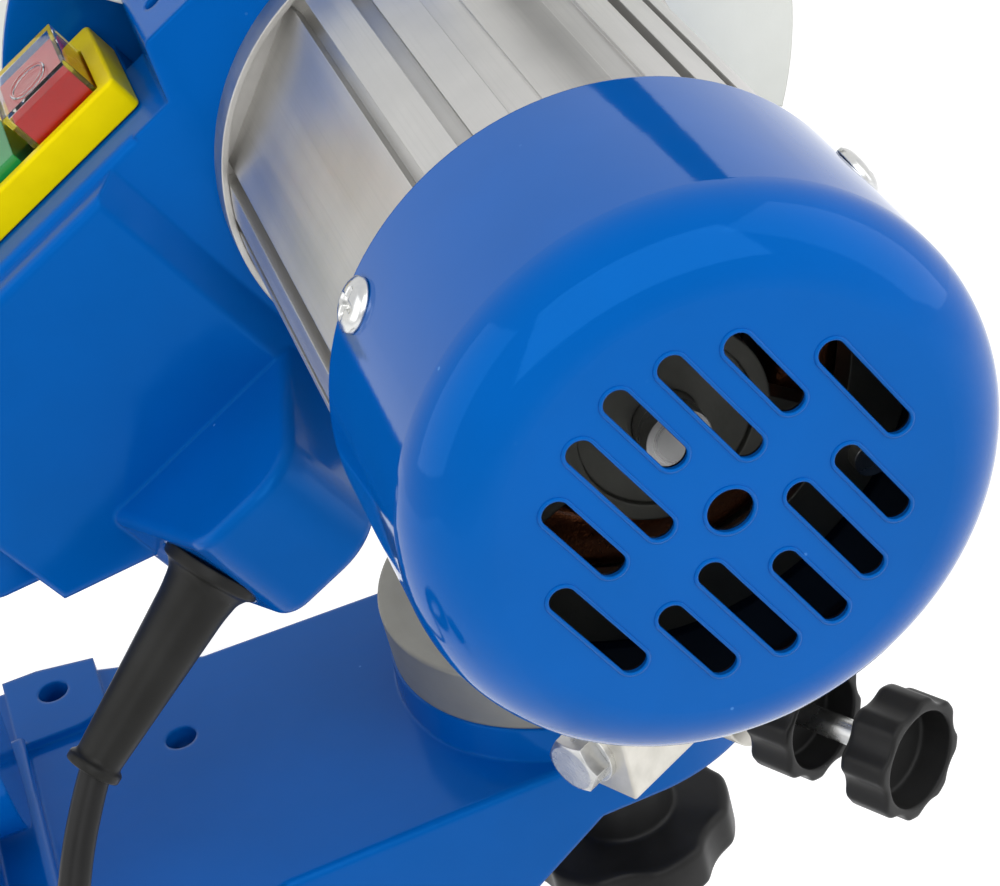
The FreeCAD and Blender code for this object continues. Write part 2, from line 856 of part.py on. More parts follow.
def make_vise():
    bottom = turntable_top
    slab_x, slab_y = mm.slab_half_length, (-mm.slab_front, mm.slab_rear)
    corner = mm.slab_corner_radius
    slab = prism("XY", [
        (-slab_x, slab_y[0], corner),
        (slab_x, slab_y[0], corner),
        (slab_x, slab_y[1], corner),
        (-slab_x, slab_y[1], corner),
    ], bottom, slab_top)
    rear_wall = box((-mm.jaw_half_length, mm.jaw_half_length), (jaw_back, mm.slab_rear),
                    (bottom, slab_top + mm.wall_height))
    front_wall = box((-mm.front_wall_half_length, mm.front_wall_half_length),
                     (-mm.slab_front, -mm.slab_front + mm.front_wall_thickness),
                     (bottom, slab_top + mm.front_wall_height))
    arm_of_lug = box((-mm.lug_far, -slab_x + corner), (-mm.lug_front, mm.lug_rear), (bottom, slab_top))
    lug = box((-mm.lug_far, -mm.lug_near), (-mm.lug_front, mm.lug_rear), (mm.lug_bottom, slab_top))
    pin_z = clamp_z
    gap = mm.running_gap
    holes = [rod("Y", (0, clamp_z), mm.clamp_screw_radius + gap, -mm.slab_front - mm.overrun, -jaw_back)]
    for side in (-1, 1):
        x_pin = mm.guide_pin_spacing / 2 * side
        holes.append(rod("Y", (x_pin, pin_z), mm.guide_pin_radius + gap, -mm.slab_front - mm.overrun,
                         -jaw_back))
    screw_z = slab_top + mm.jaw_screw_height
    head_front = mm.slab_rear - mm.jaw_screw_head_height
    tip = jaw_back - mm.jaw_screw_bite
    screws = []
    for side in (-1, 1):
        x_screw = mm.jaw_screw_spacing / 2 * side
        screws.append(rod("Y", (x_screw, screw_z), mm.jaw_screw_radius, tip, mm.slab_rear))
        screws.append(rod("Y", (x_screw, screw_z), mm.jaw_screw_head_radius, head_front, mm.slab_rear))
        holes.append(rod("Y", (x_screw, screw_z), mm.jaw_screw_radius + gap, 0, mm.slab_rear))
        holes.append(rod("Y", (x_screw, screw_z), mm.jaw_screw_head_radius + gap, head_front,
                         mm.slab_rear + mm.overrun))
    holes.append(rod("Y", (-mm.bolt_along, mm.bolt_height), mm.bolt_radius + gap,
                     -mm.bolt_reach - gap, mm.lug_rear + mm.overrun))
    node("vise_body", cut(fuse(slab, rear_wall, front_wall, arm_of_lug, lug), *holes), VISE)
    node("jaw_screws", fuse(*screws), VISE)

    jaw_x = (-mm.jaw_half_length, mm.jaw_half_length)
    fixed = box(jaw_x, (mm.chain_half_gap, jaw_back), (slab_top, jaw_top))
    screw_holes = []
    for side in (-1, 1):
        x_screw = mm.jaw_screw_spacing / 2 * side
        screw_holes.append(rod("Y", (x_screw, screw_z), mm.jaw_screw_radius + gap,
                               jaw_back - mm.jaw_screw_bite, jaw_back + mm.overrun))
    node("fixed_jaw", cut(fixed, *screw_holes), VISE)
    moving = [box(jaw_x, (-jaw_back, -mm.chain_half_gap), (slab_top + gap, jaw_top))]
    for side in (-1, 1):
        x_pin = mm.guide_pin_spacing / 2 * side
        moving.append(rod("Y", (x_pin, pin_z), mm.guide_pin_radius, -mm.guide_pin_end, -jaw_back + gap))
    node("moving_jaw", fuse(*moving), VISE)


def make_clamp():
    hub_front = -mm.clamp_hub_near - mm.clamp_hub_length
    node("clamp_screw", fuse(
        rod("Y", (0, clamp_z), mm.clamp_screw_radius, -mm.clamp_hub_near, -jaw_back),
        rod("Y", (0, clamp_z), mm.clamp_hub_radius, hub_front, -mm.clamp_hub_near),
    ), VISE)
    y_lever = -mm.clamp_hub_near - mm.clamp_hub_length / 2
    lever = made("Part::Cylinder", "Lever", Radius=mm.lever_radius,
                 Height=mm.lever_length - mm.clamp_hub_radius)
    end = made("Part::Sphere", "LeverEnd", Radius=mm.lever_ball_radius)
    droop = place(0, y_lever, clamp_z, (0, 1, 0), QUARTER_TURN + mm.lever_droop_angle)
    lever.setExpression("Placement", f"{droop} * {place(0, 0, mm.clamp_hub_radius)}")
    end.setExpression("Placement", f"{droop} * {place(0, 0, mm.lever_length)}")
    node("clamp_lever", fuse(lever, end), VISE)


# Chain stop beside the vise

rod_at = (mm.stop_rod_across, mm.stop_rod_height)


def knob_cup(rim, centre_bore):
    """A lobed cup of a knob, open towards -X, with its rim there."""
    floor = rim + mm.small_knob_length - mm.small_knob_floor
    cup = lobed("X", rod_at, mm.small_knob_radius, rim, rim + mm.small_knob_length,
                SIZES["small_knob_lobes"], mm.small_knob_scallop_radius, mm.small_knob_valley)
    return cut(
        cup,
        rod("X", rod_at, mm.small_knob_bore_radius, rim - mm.overrun, floor),
        rod("X", rod_at, centre_bore, rim, rim + mm.small_knob_length + mm.overrun),
    )


def make_chain_stop():
    gap = mm.running_gap
    block = box((-mm.block_far, -mm.block_near), (mm.lug_rear, mm.block_rear),
                (mm.block_bottom, mm.block_top))
    block = rounded(block, mm.block_edge, level(-mm.block_far, "X"))
    block = cut(
        fuse(block, rod("X", rod_at, mm.boss_radius, -mm.boss_end, -mm.block_near)),
        rod("X", rod_at, mm.stop_rod_radius + gap, -mm.boss_end - mm.overrun, -mm.block_near + mm.overrun),
        rod("Y", (-mm.bolt_along, mm.bolt_height), mm.bolt_radius + gap, mm.lug_rear - mm.overrun,
            mm.block_rear + mm.overrun),
    )
    node("stop_bracket", block, VISE)
    bolt_at = (-mm.bolt_along, mm.bolt_height)
    head_start = mm.block_rear + mm.washer_thickness
    node("stop_bracket_washer", ring("Y", bolt_at, mm.washer_radius, mm.bolt_radius + gap,
                                     mm.block_rear, head_start), VISE)
    node("stop_bracket_bolt", fuse(
        rod("Y", bolt_at, mm.bolt_radius, -mm.bolt_reach, head_start),
        hexagon("Y", bolt_at, mm.bolt_flats, head_start, head_start + mm.bolt_head_height),
    ), VISE)
    bore = mm.stop_rod_radius + gap
    hub = ring("X", rod_at, mm.lock_knob_hub, bore, mm.small_knob_length - mm.lock_knob_rim, -mm.boss_end)
    node("stop_lock_knob", fuse(knob_cup(-mm.lock_knob_rim, bore), hub), VISE)
    grip_end = -mm.adjust_knob_rim + mm.adjust_knob_grip
    node("stop_adjust_knob", knob_cup(-mm.adjust_knob_rim, bore), VISE)
    node("stop_rod", rod("X", rod_at, mm.stop_rod_radius, grip_end, -mm.stop_rod_inner_end), VISE)

    slide_x = (-mm.slide_near - mm.slide_length, -mm.slide_near)
    slide_bottom = turntable_top + mm.seat_gap
    ear_x = (-mm.pawl_along - mm.ear_length / 2, -mm.pawl_along + mm.ear_length / 2)
    pawl_z = jaw_top + mm.pawl_height
    pin_at = (-mm.pawl_along, pawl_z)
    slide = cut(
        fuse(
            box(slide_x, (mm.slab_rear + mm.seat_gap, mm.slide_rear),
                (slide_bottom, slide_bottom + mm.slide_height)),
            box(ear_x, (mm.ear_front, mm.ear_rear), (slide_bottom, slide_bottom + mm.ear_height)),
        ),
        rod("X", rod_at, mm.stop_rod_radius + gap, slide_x[0] - mm.overrun, slide_x[1] + mm.overrun),
        rod("Y", pin_at, mm.pawl_pin_radius + gap, mm.ear_front - mm.overrun, mm.ear_rear + mm.overrun),
    )
    node("stop_slide", slide, VISE)
    node("pawl_pin", rod("Y", pin_at, mm.pawl_pin_radius, -mm.pawl_half_width, mm.ear_rear), VISE)
    hub_end = mm.ear_front - mm.seat_gap
    pawl_bottom = jaw_top + mm.seat_gap
    pawl = cut(
        fuse(
            rod("Y", pin_at, mm.pawl_hub_radius, -mm.pawl_half_width, hub_end),
            box((-mm.pawl_along, -mm.pawl_tip), (-mm.pawl_half_width, mm.pawl_half_width),
                (pawl_bottom, pawl_bottom + mm.pawl_thickness)),
        ),
        rod("Y", pin_at, mm.pawl_pin_radius + gap, -mm.pawl_half_width - mm.overrun, hub_end + mm.overrun),
    )
    node("stop_pawl", pawl, VISE)


def within(frame, item):
    """Moves a part of a piece into a frame inside the piece's own."""
    return placed(item, f"{frame} * {own_places[item.Name]}")


def spun(item, direction):
    """Turns a part of the head about the shaft, from straight up towards the hinge."""
    return within(place(0, 0, 0, (1, 0, 0), -direction), item)


def biarc(start, start_way, end, end_way):
    """Two arcs that leave one point and reach the other in the given directions."""
    chord = end - start
    both = start_way + end_way
    spread = 2 * (1 - start_way.dot(end_way))
    reach = chord.dot(both)
    step = (math.sqrt(reach * reach + spread * chord.dot(chord)) - reach) / spread
    middle = (start + start_way * step + end - end_way * step) / 2
    return [arc_from(start, start_way, middle), arc_from(end, end_way * -1, middle)]


def arc_from(start, way, end):
    """The arc that leaves start in a direction and passes through end."""
    chord = end - start
    square = way.cross(chord).cross(way).normalize()
    radius = chord.dot(chord) / (2 * chord.dot(square))
    centre = start + square * radius
    middle = centre + ((start + end) / 2 - centre).normalize() * abs(radius)
    return Part.Arc(start, middle, end).toShape()


def swept(edges, radius, name):
    """A tube along edges, checked against its section times its length."""
    path = Part.Wire(Part.__sortEdges__(edges))
    first = path.OrderedVertexes[0].Point
    way = path.OrderedEdges[0].tangentAt(path.OrderedEdges[0].FirstParameter)
    section = Part.Wire(Part.Circle(first, way, radius).toShape())
    item = doc.addObject("Part::Feature", name)
    item.Shape = path.makePipeShell([section], True, False)
    expected = math.pi * radius ** 2 * path.Length
    print(f"{name}: {path.Length:.1f} mm long, volume {item.Shape.Volume:.1f} of {expected:.1f}")
    return item


def stations(route, ways):
    """Biarcs through points on a curve whose direction is known at each."""
    edges = []
    for i in range(len(route) - 1):
        edges += biarc(route[i], ways[i], route[i + 1], ways[i + 1])
    return edges


def least_self_gap(edges, radius, apart):
    """The least space between parts of a tube that lie further apart along it than apart."""
    path = Part.Wire(Part.__sortEdges__(edges))
    points = path.discretize(Distance=radius)
    step = path.Length / (len(points) - 1)
    skip = int(apart / step) + 1
    gaps = [
        points[i].distanceToPoint(points[j])
        for i in range(len(points))
        for j in range(i + skip, len(points))
    ]
    return min(gaps) - 2 * radius


# Tilting bracket, between the upright and the head

tilt_at = (0, mm.tilt_height)
hinge_at = (mm.hinge_rear, mm.hinge_height)
disc_rear = mm.upright_front - mm.running_gap
stop_at = (-mm.depth_screw_across, mm.hinge_height - mm.depth_screw_drop)
spring_hole_at = (mm.hinge_rear - mm.spring_bend_radius, mm.hinge_height - mm.spring_radius)


def make_tilt_bracket():
    front = mm.tilt_disc_front
    gap = mm.running_gap
    neck_low = mm.tilt_height + mm.neck_rise
    neck_shoulder = mm.hinge_height - mm.neck_shoulder_drop
    neck_top = mm.hinge_height - mm.neck_top_drop
    plate = [
        rod("Y", tilt_at, mm.tilt_radius, front, disc_rear),
        prism("XZ", [
            (-mm.neck_half_width, neck_low),
            (mm.neck_half_width, neck_low),
            (mm.ear_plate_far, neck_shoulder),
            (mm.ear_plate_far, neck_top),
            (-mm.ear_plate_far, neck_top),
            (-mm.ear_plate_far, neck_shoulder),
        ], front, disc_rear),
    ]
    for x_ear in ((-mm.ear_plate_far, -mm.ear_plate_near), (mm.ear_plate_near, mm.ear_plate_far)):
        plate.append(rod("X", hinge_at, mm.ear_plate_radius, *x_ear))
        plate.append(prism("YZ", [
            (front, neck_shoulder),
            (disc_rear, neck_shoulder),
            (mm.hinge_rear + mm.ear_plate_radius, mm.hinge_height),
            (mm.hinge_rear - mm.ear_plate_radius, mm.hinge_height),
        ], *x_ear))
    far = mm.ear_plate_far + mm.overrun
    node("tilt_bracket", cut(
        fuse(*plate),
        rod("X", hinge_at, mm.pin_radius + gap, -far, far),
        rod("X", spring_hole_at, mm.spring_wire_radius + gap, mm.ear_plate_near - mm.overrun, far),
        rod("Y", tilt_at, mm.tilt_stud_radius + gap, front + mm.tilt_stud_recess, disc_rear + mm.overrun),
        rod("Y", stop_at, mm.depth_screw_radius + gap, front - mm.overrun, disc_rear + mm.overrun),
    ))
    knob_near = upright_rear + mm.tilt_knob_hub
    knob_far = knob_near + mm.tilt_knob_thickness
    stud_end = knob_far - mm.overrun
    node("tilt_stud", rod("Y", tilt_at, mm.tilt_stud_radius, front + mm.tilt_stud_recess, stud_end))
    grip = lobed("Y", tilt_at, mm.tilt_knob_radius, knob_near, knob_far, SIZES["tilt_knob_lobes"],
                 mm.tilt_knob_scallop_radius, mm.tilt_knob_valley)
    grip = rounded(grip, mm.tilt_knob_edge, lambda edge: level(as_size(knob_far), "Y")(edge))
    hub = rod("Y", tilt_at, mm.tilt_knob_hub_radius, upright_rear + gap, knob_near)
    bore = rod("Y", tilt_at, mm.tilt_stud_radius + gap, upright_rear - mm.overrun, stud_end + gap)
    node("tilt_lock_knob", cut(fuse(grip, hub), bore))


def make_hinge():
    far = mm.ear_plate_far
    clip_start = far + mm.seat_gap
    clip_end = clip_start + mm.clip_thickness
    groove = mm.pin_radius - mm.clip_groove_depth
    pin = fuse(
        rod("X", hinge_at, mm.pin_radius, -far, clip_end + mm.clip_thickness),
        rod("X", hinge_at, mm.pin_head_radius, -far - mm.pin_head_height, -far),
    )
    node("hinge_pin", cut(pin, ring("X", hinge_at, mm.pin_head_radius, groove, clip_start, clip_end)))
    node("hinge_clip", ring("X", hinge_at, mm.clip_radius, groove + mm.running_gap, clip_start, clip_end))
    node("depth_stop_screw", rod("Y", stop_at, mm.depth_screw_radius, mm.depth_screw_tip,
                                 mm.depth_knob_near + mm.depth_knob_length / 2))
    knob = lobed("Y", stop_at, mm.depth_knob_radius, mm.depth_knob_near,
                 mm.depth_knob_near + mm.depth_knob_length, SIZES["depth_knob_lobes"],
                 mm.depth_knob_scallop_radius, mm.depth_knob_valley)
    bore = rod("Y", stop_at, mm.depth_screw_radius + mm.running_gap, mm.depth_knob_near - mm.overrun,
               mm.depth_knob_near + mm.depth_knob_length / 2 + mm.running_gap)
    node("depth_stop_knob", cut(knob, bore))


def make_return_spring():
    """The torsion spring on the hinge pin: one leg under the arm's lug, the other in the right ear."""
    slope = math.radians(mm.arm_slope_angle.number)
    radius = mm.spring_radius.number
    first = math.pi / 2 - slope
    last = -math.pi / 2 - 2 * math.pi * mm.spring_turns.number
    rise = mm.spring_pitch.number / (2 * math.pi)
    count = math.ceil((first - last) / (math.pi / 2))
    route, ways = [], []
    for i in range(count + 1):
        angle = first + (last - first) * i / count
        around_y = mm.hinge_rear.number + radius * math.cos(angle)
        around_z = mm.hinge_height.number + radius * math.sin(angle)
        route.append(FreeCAD.Vector(mm.spring_start.number + rise * (first - angle), around_y, around_z))
        ways.append(FreeCAD.Vector(rise, radius * math.sin(angle), -radius * math.cos(angle)).normalize())
    leg_start = route[0] - ways[0] * mm.spring_leg.number
    bend = mm.spring_bend_radius.number
    across = FreeCAD.Vector(1, 0, 0)
    hole = FreeCAD.Vector(route[-1].x + bend, spring_hole_at[0].number, spring_hole_at[1].number)
    edges = [Part.LineSegment(leg_start, route[0]).toShape()] + stations(route, ways)
    edges += biarc(route[-1], ways[-1], hole, across)
    end = FreeCAD.Vector(mm.ear_plate_far.number, hole.y, hole.z)
    edges.append(Part.LineSegment(hole, end).toShape())
    wire = mm.spring_wire_radius.number
    item = swept(edges, wire, "ReturnSpring")
    gap = least_self_gap(stations(route, ways), wire, math.pi * radius)
    print(f"return_spring: least gap between turns {gap:.2f} mm")
    node("return_spring", item)


# Head: the arm casting, in the frame of the head

RELIEF = " * ".join([
    place(-mm.relief_across, mm.relief_along, -mm.relief_below),
    place(0, 0, 0, (0, 0, 1), mm.relief_swing_angle),
    place(0, 0, 0, (1, 0, 0), -mm.relief_dip_angle),
])
tie_directions = [turn + mm.body_flat_angle - FULL_TURN / 6 for turn in around(3)]
cap_screw_directions = [turn + mm.cap_screw_angle for turn in around(3)]
shaft_at = (0, 0)
body_bore_radius = mm.body_radius - mm.body_wall
flange_radius = mm.body_radius + mm.flange_clearance + mm.flange_wall
cap_radius = mm.body_radius + mm.cap_clearance + mm.cap_wall
arm_disc_radius = flange_radius + mm.arm_disc_margin
tie_bolt_circle = mm.body_radius - mm.tie_bolt_inset
plate_screw_circle = arm_disc_radius - mm.plate_screw_inset
bracket_ring_bore = mm.body_radius - mm.bracket_ring_width
stator_bore_radius = body_bore_radius - mm.stator_depth
winding_outer_radius = body_bore_radius - mm.winding_outer_inset
winding_inner_radius = stator_bore_radius + mm.winding_inner_inset


def sector(first, last, start, end):
    """A slice of the space round the shaft, between two directions."""
    steps = 5
    corners = [(0, 0)]
    for i in range(steps + 1):
        way = first + (last - first) / steps * i
        corners.append((mm.guard_far * sine(way), mm.guard_far * cosine(way)))
    return prism("YZ", corners, start, end)


def make_arm():
    side, top = -mm.arm_side, mm.arm_top
    right, front_right = -mm.arm_right, -mm.arm_front_right
    soft = mm.cast_edge
    body = prism("YZ", [
        (mm.arm_box_front, top),
        (mm.arm_box_rear, top, mm.arm_corner_radius),
        (mm.arm_box_rear, -mm.arm_rear_bottom, mm.arm_corner_radius),
        (mm.arm_mid_along, -mm.arm_mid_bottom),
        (mm.arm_box_front, -mm.arm_front_bottom),
    ], side, right)
    body = rounded(body, soft, level(as_size(side), "X"))
    front = prism("YZ", [
        (0, top),
        (mm.arm_box_front + mm.overrun, top),
        (mm.arm_box_front + mm.overrun, -mm.arm_front_bottom),
        (0, -arm_disc_radius),
    ], side, front_right)
    panel = common(
        prism("XY", [
            (side, mm.panel_ramp_start),
            (-mm.panel_side, mm.panel_ramp_end),
            (-mm.panel_side, mm.panel_rear),
            (side, mm.panel_rear),
        ], -arm_disc_radius, top),
        prism("YZ", [
            (mm.panel_ramp_start, mm.panel_top),
            (mm.panel_rear, mm.panel_top),
            (mm.panel_rear, -mm.panel_rear_bottom),
            (mm.panel_ramp_start, -mm.panel_front_bottom),
        ], -mm.panel_side - mm.overrun, side),
    )
    panel = rounded(panel, soft, level(-mm.panel_side, "X"))
    nose = prism("XY", [
        (-mm.nose_root, mm.nose_front_root),
        (-mm.nose_reach, mm.nose_front_tip, mm.nose_front_radius),
        (-mm.nose_reach, mm.nose_rear_tip, mm.nose_rear_radius),
        (-mm.nose_root, mm.nose_rear_root),
    ], -mm.nose_bottom, -mm.nose_top)
    nose = rounded(nose, mm.nose_edge_radius, lambda edge: level(-mm.nose_top)(edge)
                   or level(-mm.nose_bottom)(edge))
    seat = prism("YZ", [
        (-mm.block_v_front, mm.block_v_foot),
        (mm.block_v_rear_foot, mm.block_v_foot),
        (mm.block_v_rear_foot, top),
        (mm.block_v_rear_top, mm.block_v_top, mm.block_v_radius),
        (-mm.block_v_front, mm.block_v_top, mm.block_v_radius),
    ], side, front_right)
    wall_span = (-mm.rear_wall_left, -mm.guard_rim_left)
    rear_wall = common(
        ring("X", shaft_at, mm.guard_radius, mm.rear_wall_bore, *wall_span),
        sector(mm.guard_plate_angle, mm.guard_rear_angle, -mm.rear_wall_left - mm.overrun, mm.overrun),
    )
    hub_at = (mm.hinge_along, mm.hinge_above)
    spring_lug_bottom = mm.hinge_above + mm.spring_radius + mm.spring_wire_radius + mm.seat_gap
    whole = fuse(
        body,
        front,
        rod("X", shaft_at, arm_disc_radius, side, front_right),
        panel,
        nose,
        seat,
        rear_wall,
        rod("X", hub_at, mm.hub_radius, -mm.hub_left, mm.hub_right),
        prism("YZ", [
            (mm.web_front, mm.hinge_above + mm.hub_radius),
            (mm.hinge_along, mm.hinge_above + mm.hub_radius),
            (mm.hinge_along, mm.hinge_above - mm.hub_radius),
            (mm.web_front, mm.hinge_above - mm.web_front_drop),
        ], -mm.hub_left, right),
        box((right, mm.lug_for_spring_right), (mm.lug_for_spring_front, mm.lug_for_spring_rear),
            (spring_lug_bottom, top)),
    )
    gap = mm.running_gap
    inner_right = -mm.arm_right - mm.cavity_wall
    seat_depth = -mm.front_bearing_at + mm.bearing_width
    hollows = [
        box((-mm.bezel_opening_left - mm.cavity_gap, inner_right),
            (mm.bezel_opening_front - mm.cavity_gap, mm.bezel_opening_rear + mm.cavity_gap),
            (-mm.cavity_floor, top + mm.overrun)),
        box((-mm.duct_side, inner_right), (mm.duct_front, mm.duct_rear), (-mm.duct_bottom, -mm.duct_top)),
        within(RELIEF, rod("Y", (0, 0), mm.relief_flange_radius + gap, -mm.relief_flange_depth,
                           mm.relief_length)),
        within(RELIEF, rod("Y", (0, 0), mm.cord_radius + gap, -mm.relief_reach_in, 0)),
        rod("X", shaft_at, mm.bearing_radius + gap, side - mm.overrun, seat_depth),
        rod("X", shaft_at, mm.shaft_thick_radius, seat_depth, front_right + mm.overrun),
        rod("X", hub_at, mm.pin_radius + gap, -mm.hub_left - mm.overrun, mm.hub_right + mm.overrun),
        rod("Y", (-mm.handle_across, mm.handle_above), mm.handle_rod_radius + gap,
            -mm.block_v_front - mm.overrun, -mm.handle_seat),
        rod("Z", (-mm.tapped_hole_side, mm.tapped_hole_along), mm.tapped_hole_radius,
            mm.block_v_top - mm.tapped_hole_depth, mm.block_v_top + mm.overrun),
    ]
    for direction in tie_directions:
        hollows.append(spun(rod("X", (0, tie_bolt_circle), mm.tie_bolt_radius + gap,
                                side - mm.overrun, -mm.tie_bolt_end + gap), direction))
    for direction in around(3, mm.plate_screw_angle):
        hollows.append(spun(rod("X", (0, plate_screw_circle), mm.plate_screw_radius + gap,
                                front_right - mm.plate_screw_bite, front_right + mm.overrun), direction))
    node("arm", cut(whole, *hollows), HEAD)


# Head: the motor

def make_motor_shell():
    side = -mm.arm_side
    gap = mm.running_gap
    floor = side - mm.flange_floor
    tie_holes = [
        spun(rod("X", (0, tie_bolt_circle), mm.tie_bolt_radius + gap, floor - mm.overrun,
                 side + mm.overrun), way)
        for way in tie_directions
    ]
    node("motor_flange", cut(
        fuse(
            ring("X", shaft_at, flange_radius, flange_radius - mm.flange_wall,
                 side - mm.flange_depth, side),
            ring("X", shaft_at, flange_radius, flange_radius - mm.flange_opening_inset, floor, side),
        ),
        *tie_holes,
    ), HEAD)

    rear, reach = -mm.body_rear, mm.body_radius + mm.overrun
    tools = [rod("X", shaft_at, body_bore_radius, rear - mm.overrun, floor + mm.overrun)]
    span = (rear - mm.overrun, floor + mm.overrun)
    half_groove = mm.body_groove_width / 2
    half_recess = mm.body_recess_width / 2
    groove_floor = mm.body_radius - mm.body_groove_depth
    recess_floor = mm.body_radius - mm.body_recess_depth
    for way in tie_directions[:-1]:
        flat = box(span, (-reach, reach), (mm.body_radius - mm.body_flat_drop, reach))
        tools.append(spun(flat, way + FULL_TURN / 6))
    for way in tie_directions:
        for turn in (-mm.body_outer_groove_angle, -mm.body_inner_groove_angle,
                     mm.body_inner_groove_angle, mm.body_outer_groove_angle):
            tools.append(spun(box(span, (-half_groove, half_groove), (groove_floor, reach)), way + turn))
        for turn in (-mm.body_recess_angle, mm.body_recess_angle):
            tools.append(spun(box(span, (-half_recess, half_recess), (recess_floor, reach)), way + turn))
        tools.append(spun(rod("X", (0, tie_bolt_circle), mm.tie_bolt_radius + gap, *span), way))
    screw_x = mm.cap_length - mm.cap_face - mm.cap_screw_from_rim
    for way in cap_screw_directions:
        tools.append(spun(rod("Z", (screw_x, 0), mm.cap_screw_radius + gap, 0, reach), way))
    node("motor_body", cut(rod("X", shaft_at, mm.body_radius, rear, floor), *tools), HEAD)


def vent(across, rise, length):
    """A round-ended slot through the face of the cap."""
    half = length / 2 - mm.slot_half_width
    face = (-mm.cap_face - mm.overrun, -mm.cap_face + mm.cap_wall + mm.overrun)
    return [
        box(face, (across - mm.slot_half_width, across + mm.slot_half_width), (rise - half, rise + half)),
        rod("X", (across, rise - half), mm.slot_half_width, *face),
        rod("X", (across, rise + half), mm.slot_half_width, *face),
    ]


def make_end_cap():
    face, rim = -mm.cap_face, mm.cap_length - mm.cap_face
    inner = cap_radius - mm.cap_wall
    shell = turned("X", shaft_at, [
        (0, face),
        (cap_radius, face, mm.cap_rounding),
        (cap_radius, rim),
        (inner, rim),
        (inner, face + mm.cap_wall, mm.cap_rounding - mm.cap_wall),
        (0, face + mm.cap_wall),
    ])
    openings = [rod("X", shaft_at, mm.cap_hole_radius, face - mm.overrun, face + mm.cap_wall + mm.overrun)]
    pitch = mm.slot_column_pitch
    for column, rise, length in (
        (0, mm.slot_centre_rise, mm.slot_short),
        (1, mm.slot_next_rise, mm.slot_long),
        (2, mm.slot_third_rise, mm.slot_short),
        (3, as_size(0), mm.slot_side),
    ):
        for across in {-column, column}:
            for way in {-1, 1} if rise.number else {1}:
                openings += vent(pitch * across, rise * way, length)
    screw_x = rim - mm.cap_screw_from_rim
    screws = []
    for way in cap_screw_directions:
        openings.append(spun(rod("Z", (screw_x, 0), mm.cap_screw_radius + mm.running_gap, body_bore_radius,
                                 cap_radius + mm.overrun), way))
        head = rod("Z", (screw_x, 0), mm.cap_screw_head_radius, cap_radius,
                   cap_radius + mm.cap_screw_head_height)
        head = rounded(head, mm.cap_screw_head_rounding, level(cap_radius + mm.cap_screw_head_height))
        shank = rod("Z", (screw_x, 0), mm.cap_screw_radius, body_bore_radius + mm.cap_screw_clear,
                    cap_radius)
        screw = fuse(shank, head)
        screws.append(placed(screw, place(0, 0, 0, (1, 0, 0), -way)))
    node("end_cap", cut(shell, *openings), HEAD)
    node("cap_screws", fuse(*screws), HEAD)


def make_motor_inside():
    gap = mm.running_gap
    rear = -mm.body_rear
    outer_face = rear - mm.bracket_thickness
    hub_start = rear - mm.bracket_hub_length
    arms = []
    holes = []
    for way in tie_directions:
        arms.append(spun(box((outer_face, rear), (-mm.bracket_arm_half_width, mm.bracket_arm_half_width),
                             (mm.bearing_radius + mm.tie_bolt_radius,
                              bracket_ring_bore + mm.tie_bolt_radius)), way))
        holes.append(spun(rod("X", (0, tie_bolt_circle), mm.tie_bolt_radius + gap, outer_face - mm.overrun,
                              rear + mm.overrun), way))
    node("rear_bearing_bracket", cut(
        fuse(
            ring("X", shaft_at, mm.body_radius, bracket_ring_bore, outer_face, rear),
            rod("X", shaft_at, mm.bracket_hub_radius, hub_start, rear),
            *arms,
        ),
        rod("X", shaft_at, mm.bearing_radius + gap, hub_start - mm.overrun, rear + mm.overrun),
        *holes,
    ), HEAD)
    node("motor_bearings", fuse(*[
        ring("X", shaft_at, mm.bearing_radius, mm.shaft_radius + gap, start, start + mm.bearing_width)
        for start in (-mm.front_bearing_at, -mm.rear_bearing_at)
    ]), HEAD)
    stator = (-mm.stator_left, -mm.stator_right)
    node("stator_core", ring("X", shaft_at, body_bore_radius - gap, stator_bore_radius, *stator), HEAD)
    rotor_radius = stator_bore_radius - mm.rotor_gap
    node("rotor_core", ring("X", shaft_at, rotor_radius, mm.shaft_thick_radius + gap, *stator), HEAD)
    node("windings", fuse(*[
        turned("X", shaft_at, [
            (winding_inner_radius, start, mm.winding_edge),
            (winding_outer_radius, start, mm.winding_edge),
            (winding_outer_radius, start + mm.winding_length, mm.winding_edge),
            (winding_inner_radius, start + mm.winding_length, mm.winding_edge),
        ])
        for start in (stator[0] - mm.winding_length, stator[1])
    ]), HEAD)
    node("motor_shaft", turned("X", shaft_at, [
        (0, -mm.shaft_rear_end),
        (mm.shaft_radius, -mm.shaft_rear_end),
        (mm.shaft_radius, -mm.shaft_thick_left),
        (mm.shaft_thick_radius, -mm.shaft_thick_left),
        (mm.shaft_thick_radius, -mm.shaft_thick_right),
        (mm.shaft_radius, -mm.shaft_thick_right),
        (mm.shaft_radius, mm.shaft_front_end),
        (0, mm.shaft_front_end),
    ]), HEAD)
    bolt_at = (0, tie_bolt_circle)
    head_end = outer_face - mm.tie_bolt_head_height
    bolts = []
    for way in tie_directions:
        bolts.append(spun(rod("X", bolt_at, mm.tie_bolt_radius, outer_face, -mm.tie_bolt_end), way))
        bolts.append(spun(rod("X", bolt_at, mm.tie_bolt_head_radius, head_end, outer_face), way))
    node("tie_bolts", fuse(*bolts), HEAD)


# Head: the wheel and its guard

